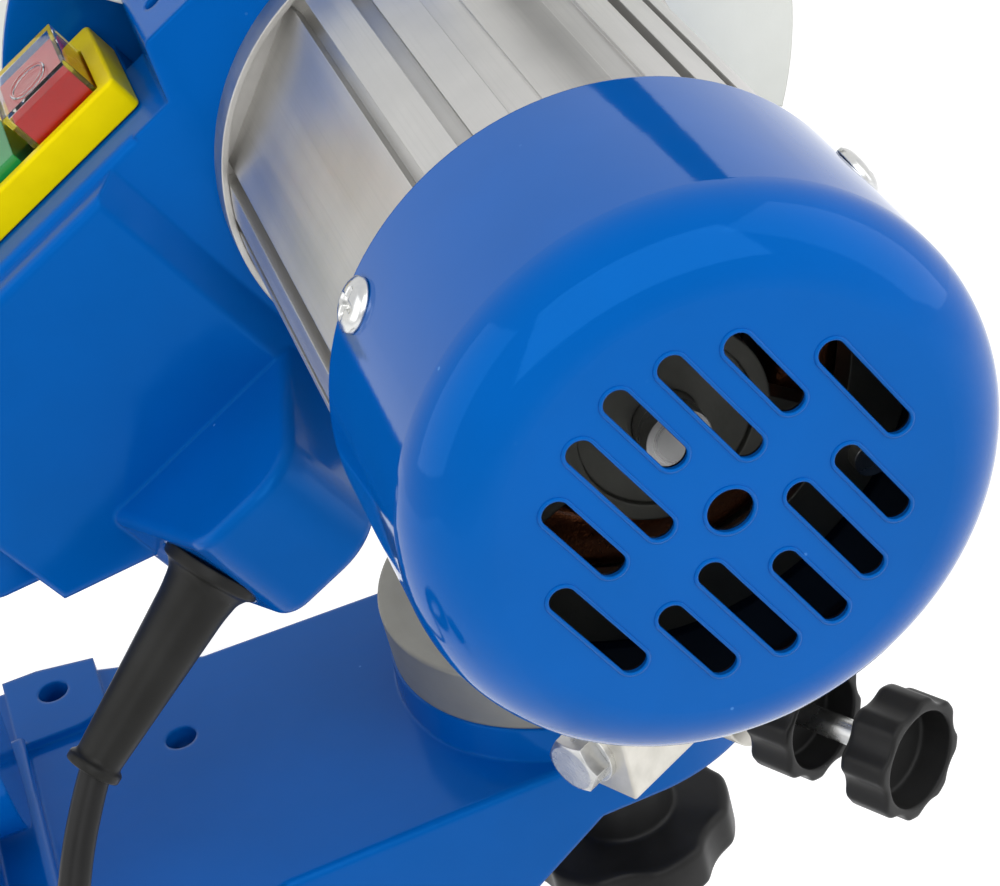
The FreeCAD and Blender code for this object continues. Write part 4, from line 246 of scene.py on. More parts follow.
shaftCentre = tuple(shaftPoint)
paint = {
    "colour": (0.0, 0.097, 0.42), "shade": (0.0, 0.086, 0.37), "patchSize": 0.05,
    "grainSize": 0.0009, "grainHeight": 0.000005, "waves": 0.012, "waveHeight": 0.0001,
    "roughness": (0.12, 0.2), "specular": 0.42, "tint": (0.05, 0.35, 0.9), "edge": 0.0014,
    "specks": (0.05, 0.2, 0.55), "speckSize": 0.004, "speckShare": 0.012,
}
finishes = {
    "blueCasting": paint,
    "blueCap": {**paint, "waveHeight": 0.00003, "roughness": (0.04, 0.08), "specular": 0.5, "edge": 0.0005,
                # painted shade: near-black colour for the cap's inside, where shade falls
                "paintedShade": (0.004, 0.008, 0.02), "centre": shaftCentre,
                "shell": {"radius": 0.0526, "face": -0.204, "rounding": 0.013, "skin": 0.0011}},
    "extrudedAluminium": {
        "colour": (0.6, 0.59, 0.57), "shade": (0.52, 0.515, 0.5), "patchSize": 0.03,
        "stretch": (90, 1, 1), "streaked": True, "grainSize": 0.0005, "grainHeight": 0.000004,
        "grainColour": (0.5, 0.495, 0.48), "grainReach": (0.5, 0.9), "smearSize": 0.006,
        "roughness": (0.3, 0.42), "metallic": 0.85, "edge": 0.0003,
    },
    "turnedAluminium": {
        "colour": (0.3, 0.295, 0.26), "shade": (0.26, 0.255, 0.225), "turn": (0, -math.pi / 2, 0),
        "centre": tuple(viseCentre), "turned": True, "streaked": True,
        "grainSize": 0.0005, "grainHeight": 0.000006, "smearSize": 0.003,
        "roughness": (0.4, 0.55), "metallic": 0.35,
    },
    "castAluminium": {
        "colour": (0.55, 0.54, 0.52), "shade": (0.44, 0.43, 0.41), "grainSize": 0.0008, "grainHeight": 0.00005,
        "roughness": (0.35, 0.55), "metallic": 1.0,
    },
    "dullCasting": {
        "colour": (0.15, 0.15, 0.135), "shade": (0.11, 0.11, 0.1), "grainSize": 0.0008,
        "grainHeight": 0.00005, "roughness": (0.5, 0.65), "metallic": 1.0,
    },
    "zincBlock": {
        "colour": (0.62, 0.6, 0.55), "shade": (0.5, 0.485, 0.44), "grainSize": 0.0011, "grainHeight": 0.00004,
        "roughness": (0.26, 0.44), "metallic": 1.0, "edge": 0.0006, "patchSize": 0.008,
    },
    "turnedSteel": {
        "colour": (0.5, 0.5, 0.5), "shade": (0.4, 0.4, 0.4), "centre": shaftCentre, "turned": True,
        "streaked": True, "grainSize": 0.0004, "grainHeight": 0.00001, "smearSize": 0.002,
        "roughness": (0.2, 0.38), "metallic": 1.0, "edge": 0.0004,
    },
    "groundSteel": {
        "colour": (0.5, 0.5, 0.51), "shade": (0.4, 0.4, 0.41), "turn": (0, 0, viseTurn), "stretch": (40, 1, 1),
        "streaked": True, "grainSize": 0.0005, "grainHeight": 0.000008, "smearSize": 0.002,
        "roughness": (0.2, 0.4), "metallic": 1.0, "edge": 0.0004,
    },
    "zincPlate": {
        "colour": (0.66, 0.66, 0.64), "shade": (0.54, 0.55, 0.56), "patchSize": 0.004,
        "grainSize": 0.0007, "grainHeight": 0.00001, "roughness": (0.16, 0.34), "metallic": 1.0, "edge": 0.0004,
    },
    "springSteel": {
        "colour": (0.4, 0.4, 0.41), "shade": (0.28, 0.28, 0.29), "grainSize": 0.0006, "grainHeight": 0.00001,
        "roughness": (0.2, 0.35), "metallic": 1.0,
    },
    "laminations": {
        "colour": (0.12, 0.12, 0.12), "shade": (0.08, 0.08, 0.08), "stretch": (1, 60, 60), "streaked": True,
        "grainSize": 0.0007, "grainHeight": 0.00012, "grainColour": (0.08, 0.08, 0.085),
        "roughness": (0.35, 0.55), "metallic": 1.0,
    },
    "copper": {
        "colour": (0.3, 0.1, 0.04), "shade": (0.2, 0.07, 0.03), "grainSize": 0.0009, "grainHeight": 0.0003,
        "roughness": (0.25, 0.4), "metallic": 1.0, "coat": 0.5,
    },
    "brass": {
        "colour": (0.72, 0.68, 0.58), "shade": (0.62, 0.56, 0.44), "grainSize": 0.0006, "grainHeight": 0.00001,
        "roughness": (0.18, 0.3), "metallic": 1.0,
    },
    "blackKnob": {
        "colour": (0.012, 0.012, 0.012), "shade": (0.02, 0.02, 0.02), "grainSize": 0.0005,
        "grainHeight": 0.000012, "roughness": (0.28, 0.42), "specular": 0.14, "edge": 0.0008,
        "specks": (0.1, 0.1, 0.1), "speckSize": 0.003, "speckShare": 0.02,
    },
    "blackSwitch": {
        "colour": (0.02, 0.02, 0.02), "shade": (0.03, 0.03, 0.03), "grainSize": 0.0004,
        "grainHeight": 0.00001, "roughness": (0.35, 0.5), "specular": 0.2, "edge": 0.0004,
    },
    "yellowPlastic": {
        "colour": (0.82, 0.66, 0.0), "shade": (0.76, 0.6, 0.0), "patchSize": 0.01, "grainSize": 0.0005,
        "grainHeight": 0.00001, "roughness": (0.3, 0.42), "specular": 0.4, "tint": (1.0, 0.85, 0.1),
        "edge": 0.0005,
    },
    "redPlastic": {
        "colour": (0.52, 0.008, 0.004), "shade": (0.42, 0.004, 0.002), "grainSize": 0.0006,
        "grainHeight": 0.00001, "roughness": (0.2, 0.3), "specular": 0.1, "edge": 0.0004,
    },
    "greenPlastic": {
        "colour": (0.01, 0.27, 0.06), "shade": (0.008, 0.22, 0.05), "grainSize": 0.0006,
        "grainHeight": 0.00001, "roughness": (0.2, 0.3), "edge": 0.0005,
    },
    "clearPlastic": {
        "colour": (0.96, 0.97, 0.97), "shade": (0.93, 0.94, 0.94), "grainSize": 0.002,
        "grainHeight": 0.000008, "roughness": (0.02, 0.07), "clear": 1.0, "ior": 1.3, "specular": 0.15,
        "edge": 0.0003,
    },
    "zincBolt": {
        "colour": (0.6, 0.6, 0.59), "shade": (0.5, 0.51, 0.52), "patchSize": 0.004, "grainSize": 0.0008,
        "grainHeight": 0.00002, "roughness": (0.2, 0.36), "metallic": 1.0, "edge": 0.0003,
    },
    "blackCord": {
        "colour": (0.012, 0.012, 0.012), "shade": (0.017, 0.017, 0.017), "grainSize": 0.0008,
        "grainHeight": 0.00001, "roughness": (0.3, 0.42), "specular": 0.14,
    },
    "greyGasket": {
        "colour": (0.2, 0.2, 0.2), "shade": (0.26, 0.26, 0.26), "grainSize": 0.0004,
        "grainHeight": 0.00003, "roughness": (0.6, 0.8), "edge": 0.0002,
    },
    "blackRubber": {
        "colour": (0.011, 0.011, 0.01), "shade": (0.018, 0.018, 0.017), "grainSize": 0.0006,
        "grainHeight": 0.00002, "roughness": (0.32, 0.46), "specular": 0.14, "edge": 0.0005,
        "specks": (0.08, 0.08, 0.08), "speckSize": 0.0026, "speckShare": 0.03,
    },
    "guardGrey": {
        "colour": (0.72, 0.735, 0.69), "shade": (0.66, 0.675, 0.63), "patchSize": 0.03, "grainSize": 0.0009,
        "grainHeight": 0.00002, "roughness": (0.34, 0.46), "edge": 0.0008,
    },
    "abrasive": {
        "colour": (0.55, 0.24, 0.17), "shade": (0.48, 0.2, 0.14), "grainSize": 0.0007, "grainDetail": 6,
        "grainHeight": 0.0004, "grainColour": (0.75, 0.5, 0.42), "grainReach": (0.52, 0.62),
        "roughness": (0.75, 0.95), "edge": 0.0003,
    },
    "blackSteel": {
        "colour": (0.02, 0.02, 0.021), "shade": (0.03, 0.03, 0.03), "grainSize": 0.0008,
        "grainHeight": 0.00002, "roughness": (0.3, 0.42), "coat": 0.3, "edge": 0.0004,
    },
}
materials = {name: surface(name, settings) for name, settings in finishes.items()}

nodeFinishes = {
    "blueCasting": ("base_bracket", "vise_body", "tilt_bracket", "arm"),
    "blueCap": ("end_cap",),
    "extrudedAluminium": ("motor_body",),
    "turnedAluminium": ("vise_turntable",),
    "castAluminium": ("motor_flange",),
    "dullCasting": ("rear_bearing_bracket", "motor_bearings"),
    "zincBlock": ("stop_bracket",),
    "turnedSteel": ("motor_shaft", "wheel_inner_flange", "wheel_outer_flange"),
    "groundSteel": ("fixed_jaw", "moving_jaw", "stop_slide", "stop_pawl"),
    "zincPlate": ("vise_lock_stud", "jaw_screws", "clamp_screw", "stop_bracket_washer", "stop_bracket_bolt",
                  "stop_rod", "pawl_pin", "tilt_stud", "hinge_pin", "depth_stop_screw", "cap_screws",
                  "tie_bolts", "wheel_nut", "guard_screws", "guard_plate_screws", "handle_rod"),
    "springSteel": ("hinge_clip", "return_spring"),
    "laminations": ("stator_core", "rotor_core"),
    "copper": ("windings",),
    "brass": ("plug_pins",),
    "blackKnob": ("vise_lock_knob", "stop_lock_knob", "stop_adjust_knob", "tilt_lock_knob", "depth_stop_knob"),
    "blackSwitch": ("switch_body",),
    "yellowPlastic": ("switch_bezel",),
    "redPlastic": ("stop_button",),
    "greenPlastic": ("start_button",),
    "clearPlastic": ("stop_button_cover",),
    "greyGasket": ("switch_gasket",),
    "blackRubber": ("handle_grip", "strain_relief", "power_cord", "cord_coil", "power_plug"),
    "guardGrey": ("guard_body", "guard_cover"),
    "abrasive": ("grinding_wheel",),
    "blackSteel": ("clamp_lever",),
}
for finish, names in nodeFinishes.items():
    for name in names:
        slots = frame["nodes"][name].data.materials
        slots.clear()
        slots.append(materials[finish])
print("stage: finishes on the frame")

# shapes: every new piece is a grid of points worked out as whole arrays


def headPlace(across, along, up):
    # a point of the head: shaft point + across X + along the arm + up from the arm
    return shaftPoint + across * sideways + along * headAlong + up * headUp


def skin(name, rings, finish, closed=True):
    # ring i's point j joins its neighbours in rings i and i + 1; the first and last rings are filled
    rows, columns = rings.shape[:2]
    i, j = np.meshgrid(np.arange(rows - 1), np.arange(columns), indexing="ij")
    k = (j + 1) % columns
    quads = np.stack((i * columns + j, i * columns + k, (i + 1) * columns + k, (i + 1) * columns + j), -1)
    faces = quads.reshape(-1, 4).tolist()
    if closed:
        faces += [list(range(columns))[::-1], list(range((rows - 1) * columns, rows * columns))]
    mesh = bpy.data.meshes.new(name)
    mesh.from_pydata(rings.reshape(-1, 3).tolist(), [], faces)
    mesh.materials.append(materials[finish])
    return mesh


same, tiny = 1e-6, 1e-7


def finished(mesh, crease=40):
    # doubles merged, faces turned outwards, smooth but for edges sharper than the crease
    shape = bmesh.new()
    shape.from_mesh(mesh)
    bmesh.ops.remove_doubles(shape, verts=shape.verts, dist=same)
    bmesh.ops.dissolve_degenerate(shape, dist=tiny, edges=shape.edges)
    bmesh.ops.recalc_face_normals(shape, faces=shape.faces)
    shape.to_mesh(mesh)
    shape.free()
    mesh.shade_smooth()
    mesh.set_sharp_from_angle(angle=math.radians(crease))
    return mesh


def joinedMesh(name, meshes):
    whole = bmesh.new()
    for mesh in meshes:
        whole.from_mesh(mesh)
    for mesh in meshes[1:]:
        bpy.data.meshes.remove(mesh)
    whole.to_mesh(meshes[0])
    whole.free()
    meshes[0].name = name
    return meshes[0]


def softened(corners, steps=6):
    # each corner P, cut back by its last column to A and B, becomes (1-t)^2 A + 2t(1-t) P + t^2 B
    corners = np.asarray(corners, float)
    place, cut = corners[:, :-1], corners[:, -1:]
    before, after = np.roll(place, 1, 0) - place, np.roll(place, -1, 0) - place
    before[0], after[-1] = 0, 0
    reachBack = np.minimum(cut / np.maximum(np.linalg.norm(before[:, :2], axis=1, keepdims=True), 1e-9), 0.5)
    reachOn = np.minimum(cut / np.maximum(np.linalg.norm(after[:, :2], axis=1, keepdims=True), 1e-9), 0.5)
    first, last = place + before * reachBack, place + after * reachOn
    t = np.linspace(0, 1, steps)[None, :, None]
    curve = (1 - t) ** 2 * first[:, None] + 2 * t * (1 - t) * place[:, None] + t ** 2 * last[:, None]
    return curve.reshape(-1, place.shape[1])


def lobedRadius(angle, s):
    # a ray meets a scallop's circle at d cos a - sqrt(c^2 - d^2 sin^2 a); a soft minimum with the rim's
    # radius rounds the edges between lobe and scallop
    step = 2 * math.pi / s["lobes"]
    turn = (angle + step / 2) % step - step / 2
    far = s["radius"] + s["scallop"] - s["valley"]
    inside = s["scallop"] ** 2 - (far * np.sin(turn)) ** 2
    hollow = np.where(inside > 0, far * np.cos(turn) - np.sqrt(np.maximum(inside, 0)), far)
    return -s["soft"] * np.log(np.exp(-hollow / s["soft"]) + np.exp(-s["radius"] / s["soft"]))


def turnedSkin(name, s, finish, columns=192):
    # profile (radius, place on the axis, share of lobing) carried round the axis:
    # point = centre + a axis + (r + share (lobed - rim)) (cos first + sin second)
    angle = np.linspace(0, 2 * math.pi, columns, endpoint=False)
    rows = softened(s["profile"], s.get("steps", 6))
    radius, place, share = rows[:, 0:1], rows[:, 1:2], rows[:, 2:3]
    lobing = (lobedRadius(angle, s) - s["radius"])[None] if "lobes" in s else 0 * angle[None]
    ribs = s["ribHeight"] * np.cos(s["ribs"] * angle)[None] if "ribs" in s else 0
    reach = np.maximum(radius + share * (lobing + ribs), 0)
    out = np.cos(angle)[None, :, None] * s["first"] + np.sin(angle)[None, :, None] * s["second"]
    rings = s["centre"] + place[:, :, None] * s["axis"] + reach[:, :, None] * out
    return skin(name, rings, finish)


def turnedPiece(name, body, finish, s, *nodes, columns=192, crease=40):
    return newObject(name, finished(turnedSkin(name, s, finish, columns), crease), body, *nodes)


def beadRing(name, line, up, radius, finish, sides=10):
    # a round bead along a closed line: point + radius (cos outward + sin up)
    on = np.roll(line, -1, 0) - np.roll(line, 1, 0)
    out = np.cross(on, up)
    out /= np.maximum(np.linalg.norm(out, axis=1, keepdims=True), 1e-12)
    angle = np.linspace(0, 2 * math.pi, sides, endpoint=False)[None, :, None]
    rings = line[:, None] + radius * (np.cos(angle) * out[:, None] + np.sin(angle) * up)
    rings = np.concatenate((rings, rings[:1]))
    return skin(name, rings, finish, closed=False)


# power cord: one NURBS route, and two tubes that follow it, joined at the tilting bracket

cordSettings = {
    "diameter": 0.007, "sides": 24, "resolution": 8,
    "route": [
        (-0.0866, -0.0152, 0.0968), (-0.0881, -0.0126, 0.0942), (-0.0915, -0.0079, 0.0880),
        (-0.0952, -0.0033, 0.0812), (-0.0992, 0.0006, 0.0742), (-0.1042, 0.0072, 0.0640),
        (-0.1095, 0.0150, 0.0541), (-0.1145, 0.0226, 0.0456), (-0.1214, 0.0363, 0.0313),
        (-0.1262, 0.0539, 0.0190), (-0.1279, 0.0740, 0.0100), (-0.1272, 0.0954, 0.0051),
        (-0.1251, 0.1147, 0.0036), (-0.1226, 0.1326, 0.0036),
    ],
    "exit": (-0.0876, -0.0121, 0.0945), "meeting": (-0.1145, 0.0226, 0.0456), "settled": (-0.1262, 0.0539, 0.0190),
    "coilRadius": 0.0385, "coilStep": 0.0075, "coilLead": 0.0072, "layerTurns": 3.25, "levelTurns": 3,
    "pointsPerTurn": 16, "plugLead": 0.030,
}


def coilPoints(start, way, s):
    # radius = least + step |turns - middle|; height = step climb^2 (3 - 2 climb), climb from 0 to 1 as
    # the spiral turns back; turned and shifted so that its first way carries on from the route
    way = way * (1, 1, 0) / np.hypot(*way[:2])
    least = s["coilRadius"] - s["coilStep"] * s["layerTurns"] / 2
    whole = 2 * s["layerTurns"]
    turns = np.linspace(0, whole, int(whole * s["pointsPerTurn"]) + 1)
    outside = 1 / math.cos(math.pi / s["pointsPerTurn"])
    radius = (least + s["coilStep"] * abs(turns - s["layerTurns"])) * outside
    climb = np.clip((turns - s["levelTurns"]) * 2, 0, 1)
    angle = 2 * math.pi * turns
    height = s["coilStep"] * climb ** 2 * (3 - 2 * climb)
    points = np.stack((radius * np.cos(angle), radius * np.sin(angle), height), 1)
    growth = s["coilStep"] / (2 * math.pi)
    firstRadius = least + s["coilStep"] * s["layerTurns"]
    turn = math.atan2(way[1], way[0]) - math.atan2(firstRadius, -growth)
    spin = np.array(((math.cos(turn), -math.sin(turn), 0), (math.sin(turn), math.cos(turn), 0), (0, 0, 1)))
    first = start + way * s["coilLead"]
    points = (points - (firstRadius, 0, 0)) @ spin.T + first
    lastWay = spin @ np.array((-growth, -firstRadius, 0))
    return points, lastWay / np.linalg.norm(lastWay)


def splineLine(points, resolution):
    # the points of a quadratic spline through the route, read back from its curve
    curve = bpy.data.curves.new("cordRoute", "CURVE")
    curve.dimensions = "3D"
    spline = curve.splines.new("NURBS")
    spline.points.add(len(points) - 1)
    spline.points.foreach_set("co", np.concatenate((points, np.ones((len(points), 1))), 1).ravel())
    spline.order_u = 3
    spline.use_endpoint_u = True
    spline.resolution_u = resolution
    guide = bpy.data.objects.new("cordRoute", curve)
    mesh = bpy.data.meshes.new_from_object(guide)
    line = np.empty(len(mesh.vertices) * 3)
    mesh.vertices.foreach_get("co", line)
    bpy.data.meshes.remove(mesh)
    bpy.data.objects.remove(guide)
    bpy.data.curves.remove(curve)
    return line.reshape(-1, 3)


def tubeRings(line, radius, sides):
    # point + radius (cos side + sin over), side square to the line and level
    on = np.gradient(line, axis=0)
    on /= np.linalg.norm(on, axis=1, keepdims=True)
    side = np.cross(on, upwards)
    side /= np.linalg.norm(side, axis=1, keepdims=True)
    over = np.cross(side, on)
    angle = np.linspace(0, 2 * math.pi, sides, endpoint=False)[None, :, None]
    return line[:, None] + radius * (np.cos(angle) * side[:, None] + np.sin(angle) * over[:, None])


def makeCord(s):
    # one route, then its tube cut in two where it passes the tilt pivot
    route = np.array(s["route"])
    coil, lastWay = coilPoints(route[-1], route[-1] - route[-2], s)
    end = coil[-1] + lastWay * s["plugLead"]
    line = splineLine(np.concatenate((route, coil, end[None])), s["resolution"])
    rings = tubeRings(line, s["diameter"] / 2, s["sides"])
    meeting = int(np.argmin(np.linalg.norm(line - s["meeting"], axis=1)))
    lengths = []
    cords = []
    for name, part in (("cordUpper", slice(0, meeting + 1)), ("cordLower", slice(meeting, None))):
        mesh = finished(skin(name, rings[part], "blackCord"))
        cords.append(newObject(name, mesh, None))
        lengths.append(float(np.linalg.norm(np.diff(line[part], axis=0), axis=1).sum()))
    upper, lower = cords
    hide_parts("power_cord")
    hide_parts("cord_coil")
    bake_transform(upper)
    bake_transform(lower)
    print("cord: upper", round(lengths[0], 4), "lower", round(lengths[1], 4), "meeting", line[meeting].round(4))
    return {"upper": upper, "lower": lower, "lengths": lengths, "line": line, "meeting": meeting,
            "end": end, "way": lastWay}


cord = makeCord(cordSettings)
print("stage: power cord")

# plug: superellipse sections |x/a|^p + |y/b|^p = 1 along its length, with shallow grip ridges

plugSettings = {
    "places": (0.0, 0.004, 0.010, 0.016, 0.021, 0.028, 0.040, 0.050, 0.0535, 0.054),
    "halfWidths": (0.0050, 0.0056, 0.0066, 0.0120, 0.0168, 0.0180, 0.0180, 0.0176, 0.0168, 0.0150),
    "halfDepths": (0.0050, 0.0055, 0.0062, 0.0086, 0.0102, 0.0109, 0.0109, 0.0107, 0.0100, 0.0088),
    "power": 3.2, "roundUntil": 0.008, "squaredOver": 0.012, "rows": 140, "sides": 96,
    "ridges": 7, "ridgeHeight": 0.0004, "ridgeFrom": 0.024, "ridgeTo": 0.044,
}


def makePlug(s, start, way):
    along = np.linspace(0, s["places"][-1], s["rows"])
    wide = np.interp(along, s["places"], s["halfWidths"])
    deep = np.interp(along, s["places"], s["halfDepths"])
    share = np.clip((along - s["ridgeFrom"]) / (s["ridgeTo"] - s["ridgeFrom"]), 0, 1)
    ridge = s["ridgeHeight"] * np.sin(math.pi * share) * np.cos(2 * math.pi * s["ridges"] * share)
    angle = np.linspace(0, 2 * math.pi, s["sides"], endpoint=False)
    squared = np.clip((along - s["roundUntil"]) / s["squaredOver"], 0, 1)
    power = (2 + (s["power"] - 2) * squared)[:, None]
    bend = (abs(np.cos(angle)) ** power + abs(np.sin(angle)) ** power) ** (-1 / power)
    side = np.cross(upwards, way)
    across = ((wide + ridge)[:, None] * bend * np.cos(angle))[:, :, None]
    up = (deep[:, None] * bend * np.sin(angle))[:, :, None]
    rings = start + along[:, None, None] * way + across * side + up * upwards
    return newObject("plugBody", finished(skin("plugBody", rings, "blackCord")), "bracket", "power_plug")


plugBody = makePlug(plugSettings, cord["end"], cord["way"])

# strain relief: a flange with a concave flare, a long taper and an end ring, turned about the cord

reliefSettings = {
    "centre": np.array((-0.0750, -0.04933, 0.12208)), "axis": np.array((-0.2625, 0.7756, -0.5745)),
    "profile": [
        (0, -0.0030, 0, 0), (0.0112, -0.0030, 0, 0.0003), (0.0112, -0.0004, 0, 0.0006), (0.0096, 0.0004, 0, 0.0006),
        (0.0084, 0.0022, 0, 0.0010), (0.0077, 0.0064, 0, 0.0020), (0.0052, 0.0452, 0, 0.0010),
        (0.0063, 0.0460, 0, 0.0005), (0.0063, 0.0480, 0, 0.0006), (0, 0.0480, 0, 0),
    ],
}
reliefSettings["first"] = np.cross(reliefSettings["axis"], upwards)
reliefSettings["first"] /= np.linalg.norm(reliefSettings["first"])
reliefSettings["second"] = np.cross(reliefSettings["axis"], reliefSettings["first"])
turnedPiece("cordRelief", "head", "blackRubber", reliefSettings, "strain_relief", columns=96)

# knobs: moulded lobed grips, each a profile of (radius, place on the axis, share of lobing, corner cut)

firstLobe = math.radians(12.4)
rodBack, rodHeight = 0.0222, 0.0425
smallKnob = {
    "centre": viseCentre + rodBack * viseBack + rodHeight * upwards, "axis": viseAlong, "first": viseBack,
    "second": upwards, "radius": 0.0147, "lobes": 8, "scallop": 0.006, "valley": 0.0015, "soft": 0.0005,
    "cup": 0.0112, "draft": 0.0002, "length": 0.012, "floor": 0.004, "hub": 0.008,
}


def cupProfile(rim, hubEnd, s):
    # open towards the rim: cup wall, rounded rim, lobed side, back with its hub
    back = rim + s["length"]
    floor = back - s["floor"]
    return [
        (0, floor, 0, 0), (s["cup"], floor, 0, 0.0012), (s["cup"] + s["draft"], rim, 0, 0.0007),
        (s["radius"], rim, 1, 0.0012), (s["radius"], back, 1, 0.0022), (s["hub"], back, 0, 0.0008),
        (s["hub"], hubEnd, 0, 0.0003), (0, hubEnd, 0, 0),
    ]


def turnedAxes(first, second, angle):
    # both directions turned by an angle in their plane
    return (math.cos(angle) * first + math.sin(angle) * second,
            math.cos(angle) * second - math.sin(angle) * first)


# name, body, CAD node, and where its rim and its hub end on the rod
smallKnobs = (
    ("stopLockGrip", "stop_nut", "stop_lock_knob", -0.1034, -0.0850),
    ("stopAdjustGrip", "stop_screw", "stop_adjust_knob", -0.1300, -0.1175),
)
viseKnobFirst, viseKnobSecond = turnedAxes(viseAlong, viseBack, firstLobe)
viseKnob = {
    "centre": viseCentre, "axis": upwards, "first": viseKnobFirst, "second": viseKnobSecond,
    "radius": 0.0295, "lobes": 6, "scallop": 0.0155, "valley": 0.0024, "soft": 0.0008,
    "profile": [
        (0, 0.00395, 0, 0), (0.014, 0.00395, 0, 0.0004), (0.014, -0.0515, 0, 0.002),
        (0.0295, -0.0515, 1, 0.003), (0.0295, -0.0655, 1, 0.002), (0, -0.0655, 0, 0),
    ],
}
tiltKnob = {
    "centre": np.array((0, 0, 0.060)), "axis": backwards, "first": sideways, "second": upwards,
    "radius": 0.022, "lobes": 6, "scallop": 0.009, "valley": 0.004, "soft": 0.0007,
    "profile": [
        (0, 0.04105, 0, 0), (0.011, 0.04105, 0, 0.0003), (0.011, 0.047, 0, 0.001), (0.022, 0.047, 1, 0.001),
        (0.022, 0.063, 1, 0.0028), (0.009, 0.063, 0, 0.001), (0.007, 0.062, 0, 0.001), (0, 0.062, 0, 0),
    ],
}
depthKnob = {
    "centre": np.array((-0.012, 0, 0.112)), "axis": backwards, "first": sideways, "second": upwards,
    "radius": 0.011, "lobes": 8, "scallop": 0.004, "valley": 0.0012, "soft": 0.0004,
    "profile": [
        (0, 0.030, 0, 0), (0.011, 0.030, 1, 0.0008), (0.011, 0.042, 1, 0.0016), (0.005, 0.042, 0, 0.0008),
        (0.004, 0.0414, 0, 0.0008), (0, 0.0414, 0, 0),
    ],
}
for name, body, node, rim, hubEnd in smallKnobs:
    settings = {**smallKnob, "profile": cupProfile(rim, hubEnd, smallKnob)}
    turnedPiece(name, body, "blackKnob", settings, node)
turnedPiece("viseLockGrip", "vise_knob", "blackKnob", viseKnob, "vise_lock_knob")
turnedPiece("tiltLockGrip", "tilt_knob", "blackKnob", tiltKnob, "tilt_lock_knob")
turnedPiece("depthStopGrip", "depth_stop", "blackKnob", depthKnob, "depth_stop_knob")
print("stage: knobs")

# hexagon bolt: top z = min(h, h - (r - c) tan 30) over a hexagon of radius a / cos(angle from a flat)

boltSettings = {
    "centre": viseCentre - 0.0534 * viseAlong + 0.0346 * upwards, "axis": viseBack, "first": viseAlong,
    "second": upwards, "from": 0.0516, "height": 0.0054, "flats": 0.013, "chamfer": 0.93,
    "rows": 40, "columns": 144, "seatRounding": 0.0003, "seatShare": 0.985, "crease": 25,
}


def makeBolt(s):
    angle = np.linspace(0, 2 * math.pi, s["columns"], endpoint=False)
    edge = s["flats"] / 2 / np.cos(angle % (math.pi / 3) - math.pi / 6)
    shares = np.concatenate((np.linspace(0, 1, s["rows"]), (1.0, s["seatShare"], 0.0)))[:, None]
    reach = shares * edge[None]
    fall = np.maximum(reach - s["chamfer"] * s["flats"] / 2, 0) * math.tan(math.radians(30))
    lift = s["height"] - fall
    lift[s["rows"]:] = np.array((s["seatRounding"], 0.0, 0.0))[:, None]
    out = np.cos(angle)[None, :, None] * s["first"] + np.sin(angle)[None, :, None] * s["second"]
    rings = s["centre"] + (s["from"] + lift)[:, :, None] * s["axis"] + reach[:, :, None] * out
    mesh = finished(skin("stopBoltHead", rings, "zincBolt"), s["crease"])
    newObject("stopBoltHead", mesh, "vise", "stop_bracket_bolt")


makeBolt(boltSettings)

# cap screws: pan heads h = dome(r) - depth cross(x, y), the cross soft at its edges

screwSettings = {
    "at": -0.1544, "seat": 0.0526, "directions": (27, 147, 267), "radius": 0.005, "height": 0.0022,
    "round": 0.0013, "crossWidth": 0.0007, "crossReach": 0.0026, "crossDepth": 0.0012, "columns": 96, "rows": 36,
    "crease": 50,
}


def makeCapScrews(s):
    angle = np.linspace(0, 2 * math.pi, s["columns"], endpoint=False)[None]
    radius = np.linspace(0, s["radius"], s["rows"])[:, None]
    dome = s["height"] - s["round"] * (radius / s["radius"]) ** 4
    x, y = radius * np.cos(angle), radius * np.sin(angle)
    arm = np.minimum(abs(x), abs(y)) / s["crossWidth"]
    reach = radius / s["crossReach"]
    lift = dome - s["crossDepth"] / ((1 + arm ** 8) * (1 + reach ** 12))
    foot = np.zeros((1, s["columns"]))
    x, y = np.concatenate((x, x[-1:])), np.concatenate((y, y[-1:]))
    lift = np.concatenate((lift, foot))
    heads = []
    for direction in s["directions"]:
        way = math.radians(direction)
        out = math.sin(way) * headAlong + math.cos(way) * headUp
        side = np.cross(out, sideways)
        centre = shaftPoint + s["at"] * sideways + s["seat"] * out
        rings = centre + lift[:, :, None] * out + x[:, :, None] * sideways + y[:, :, None] * side
        heads.append(finished(skin("capScrewHead", rings, "zincPlate"), s["crease"]))
    newObject("capScrewHeads", joinedMesh("capScrewHeads", heads), "head", "cap_screws")


makeCapScrews(screwSettings)

# lips of the cap's slots: beads along stadium outlines (w cos t, w sin t + half sign(sin t))

slotSettings = {
    "pitch": 0.0097, "halfWidth": 0.00275, "face": -0.204, "bead": 0.0004, "hole": 0.0044,
    "points": 64, "sides": 8,
    "columns": ((0, 0.0232, 0.0202), (1, 0.0178, 0.0267), (2, 0.0156, 0.0202), (3, 0, 0.0245)),
}


def makeSlotLips(s):
    t = np.linspace(0, 2 * math.pi, s["points"], endpoint=False) + math.pi / s["points"]
    lips = []
    places = {(a * column, b * rise, length) for column, rise, length in s["columns"]
              for a in (-1, 1) for b in (-1, 1)}
    for column, rise, length in sorted(places):
        across = column * s["pitch"] + s["halfWidth"] * np.cos(t)
        up = rise + s["halfWidth"] * np.sin(t) + (length / 2 - s["halfWidth"]) * np.sign(np.sin(t))
        line = headPlace(s["face"], 0, 0) + across[:, None] * headAlong + up[:, None] * headUp
        lips.append(beadRing("slotLip", line, -sideways, s["bead"], "blueCap", s["sides"]))
    line = headPlace(s["face"], 0, 0) + s["hole"] * (np.cos(t)[:, None] * headAlong + np.sin(t)[:, None] * headUp)
    lips.append(beadRing("slotLip", line, -sideways, s["bead"], "blueCap", s["sides"]))
    lips = [finished(lip) for lip in lips]
    newObject("slotLips", joinedMesh("slotLips", lips), "head")


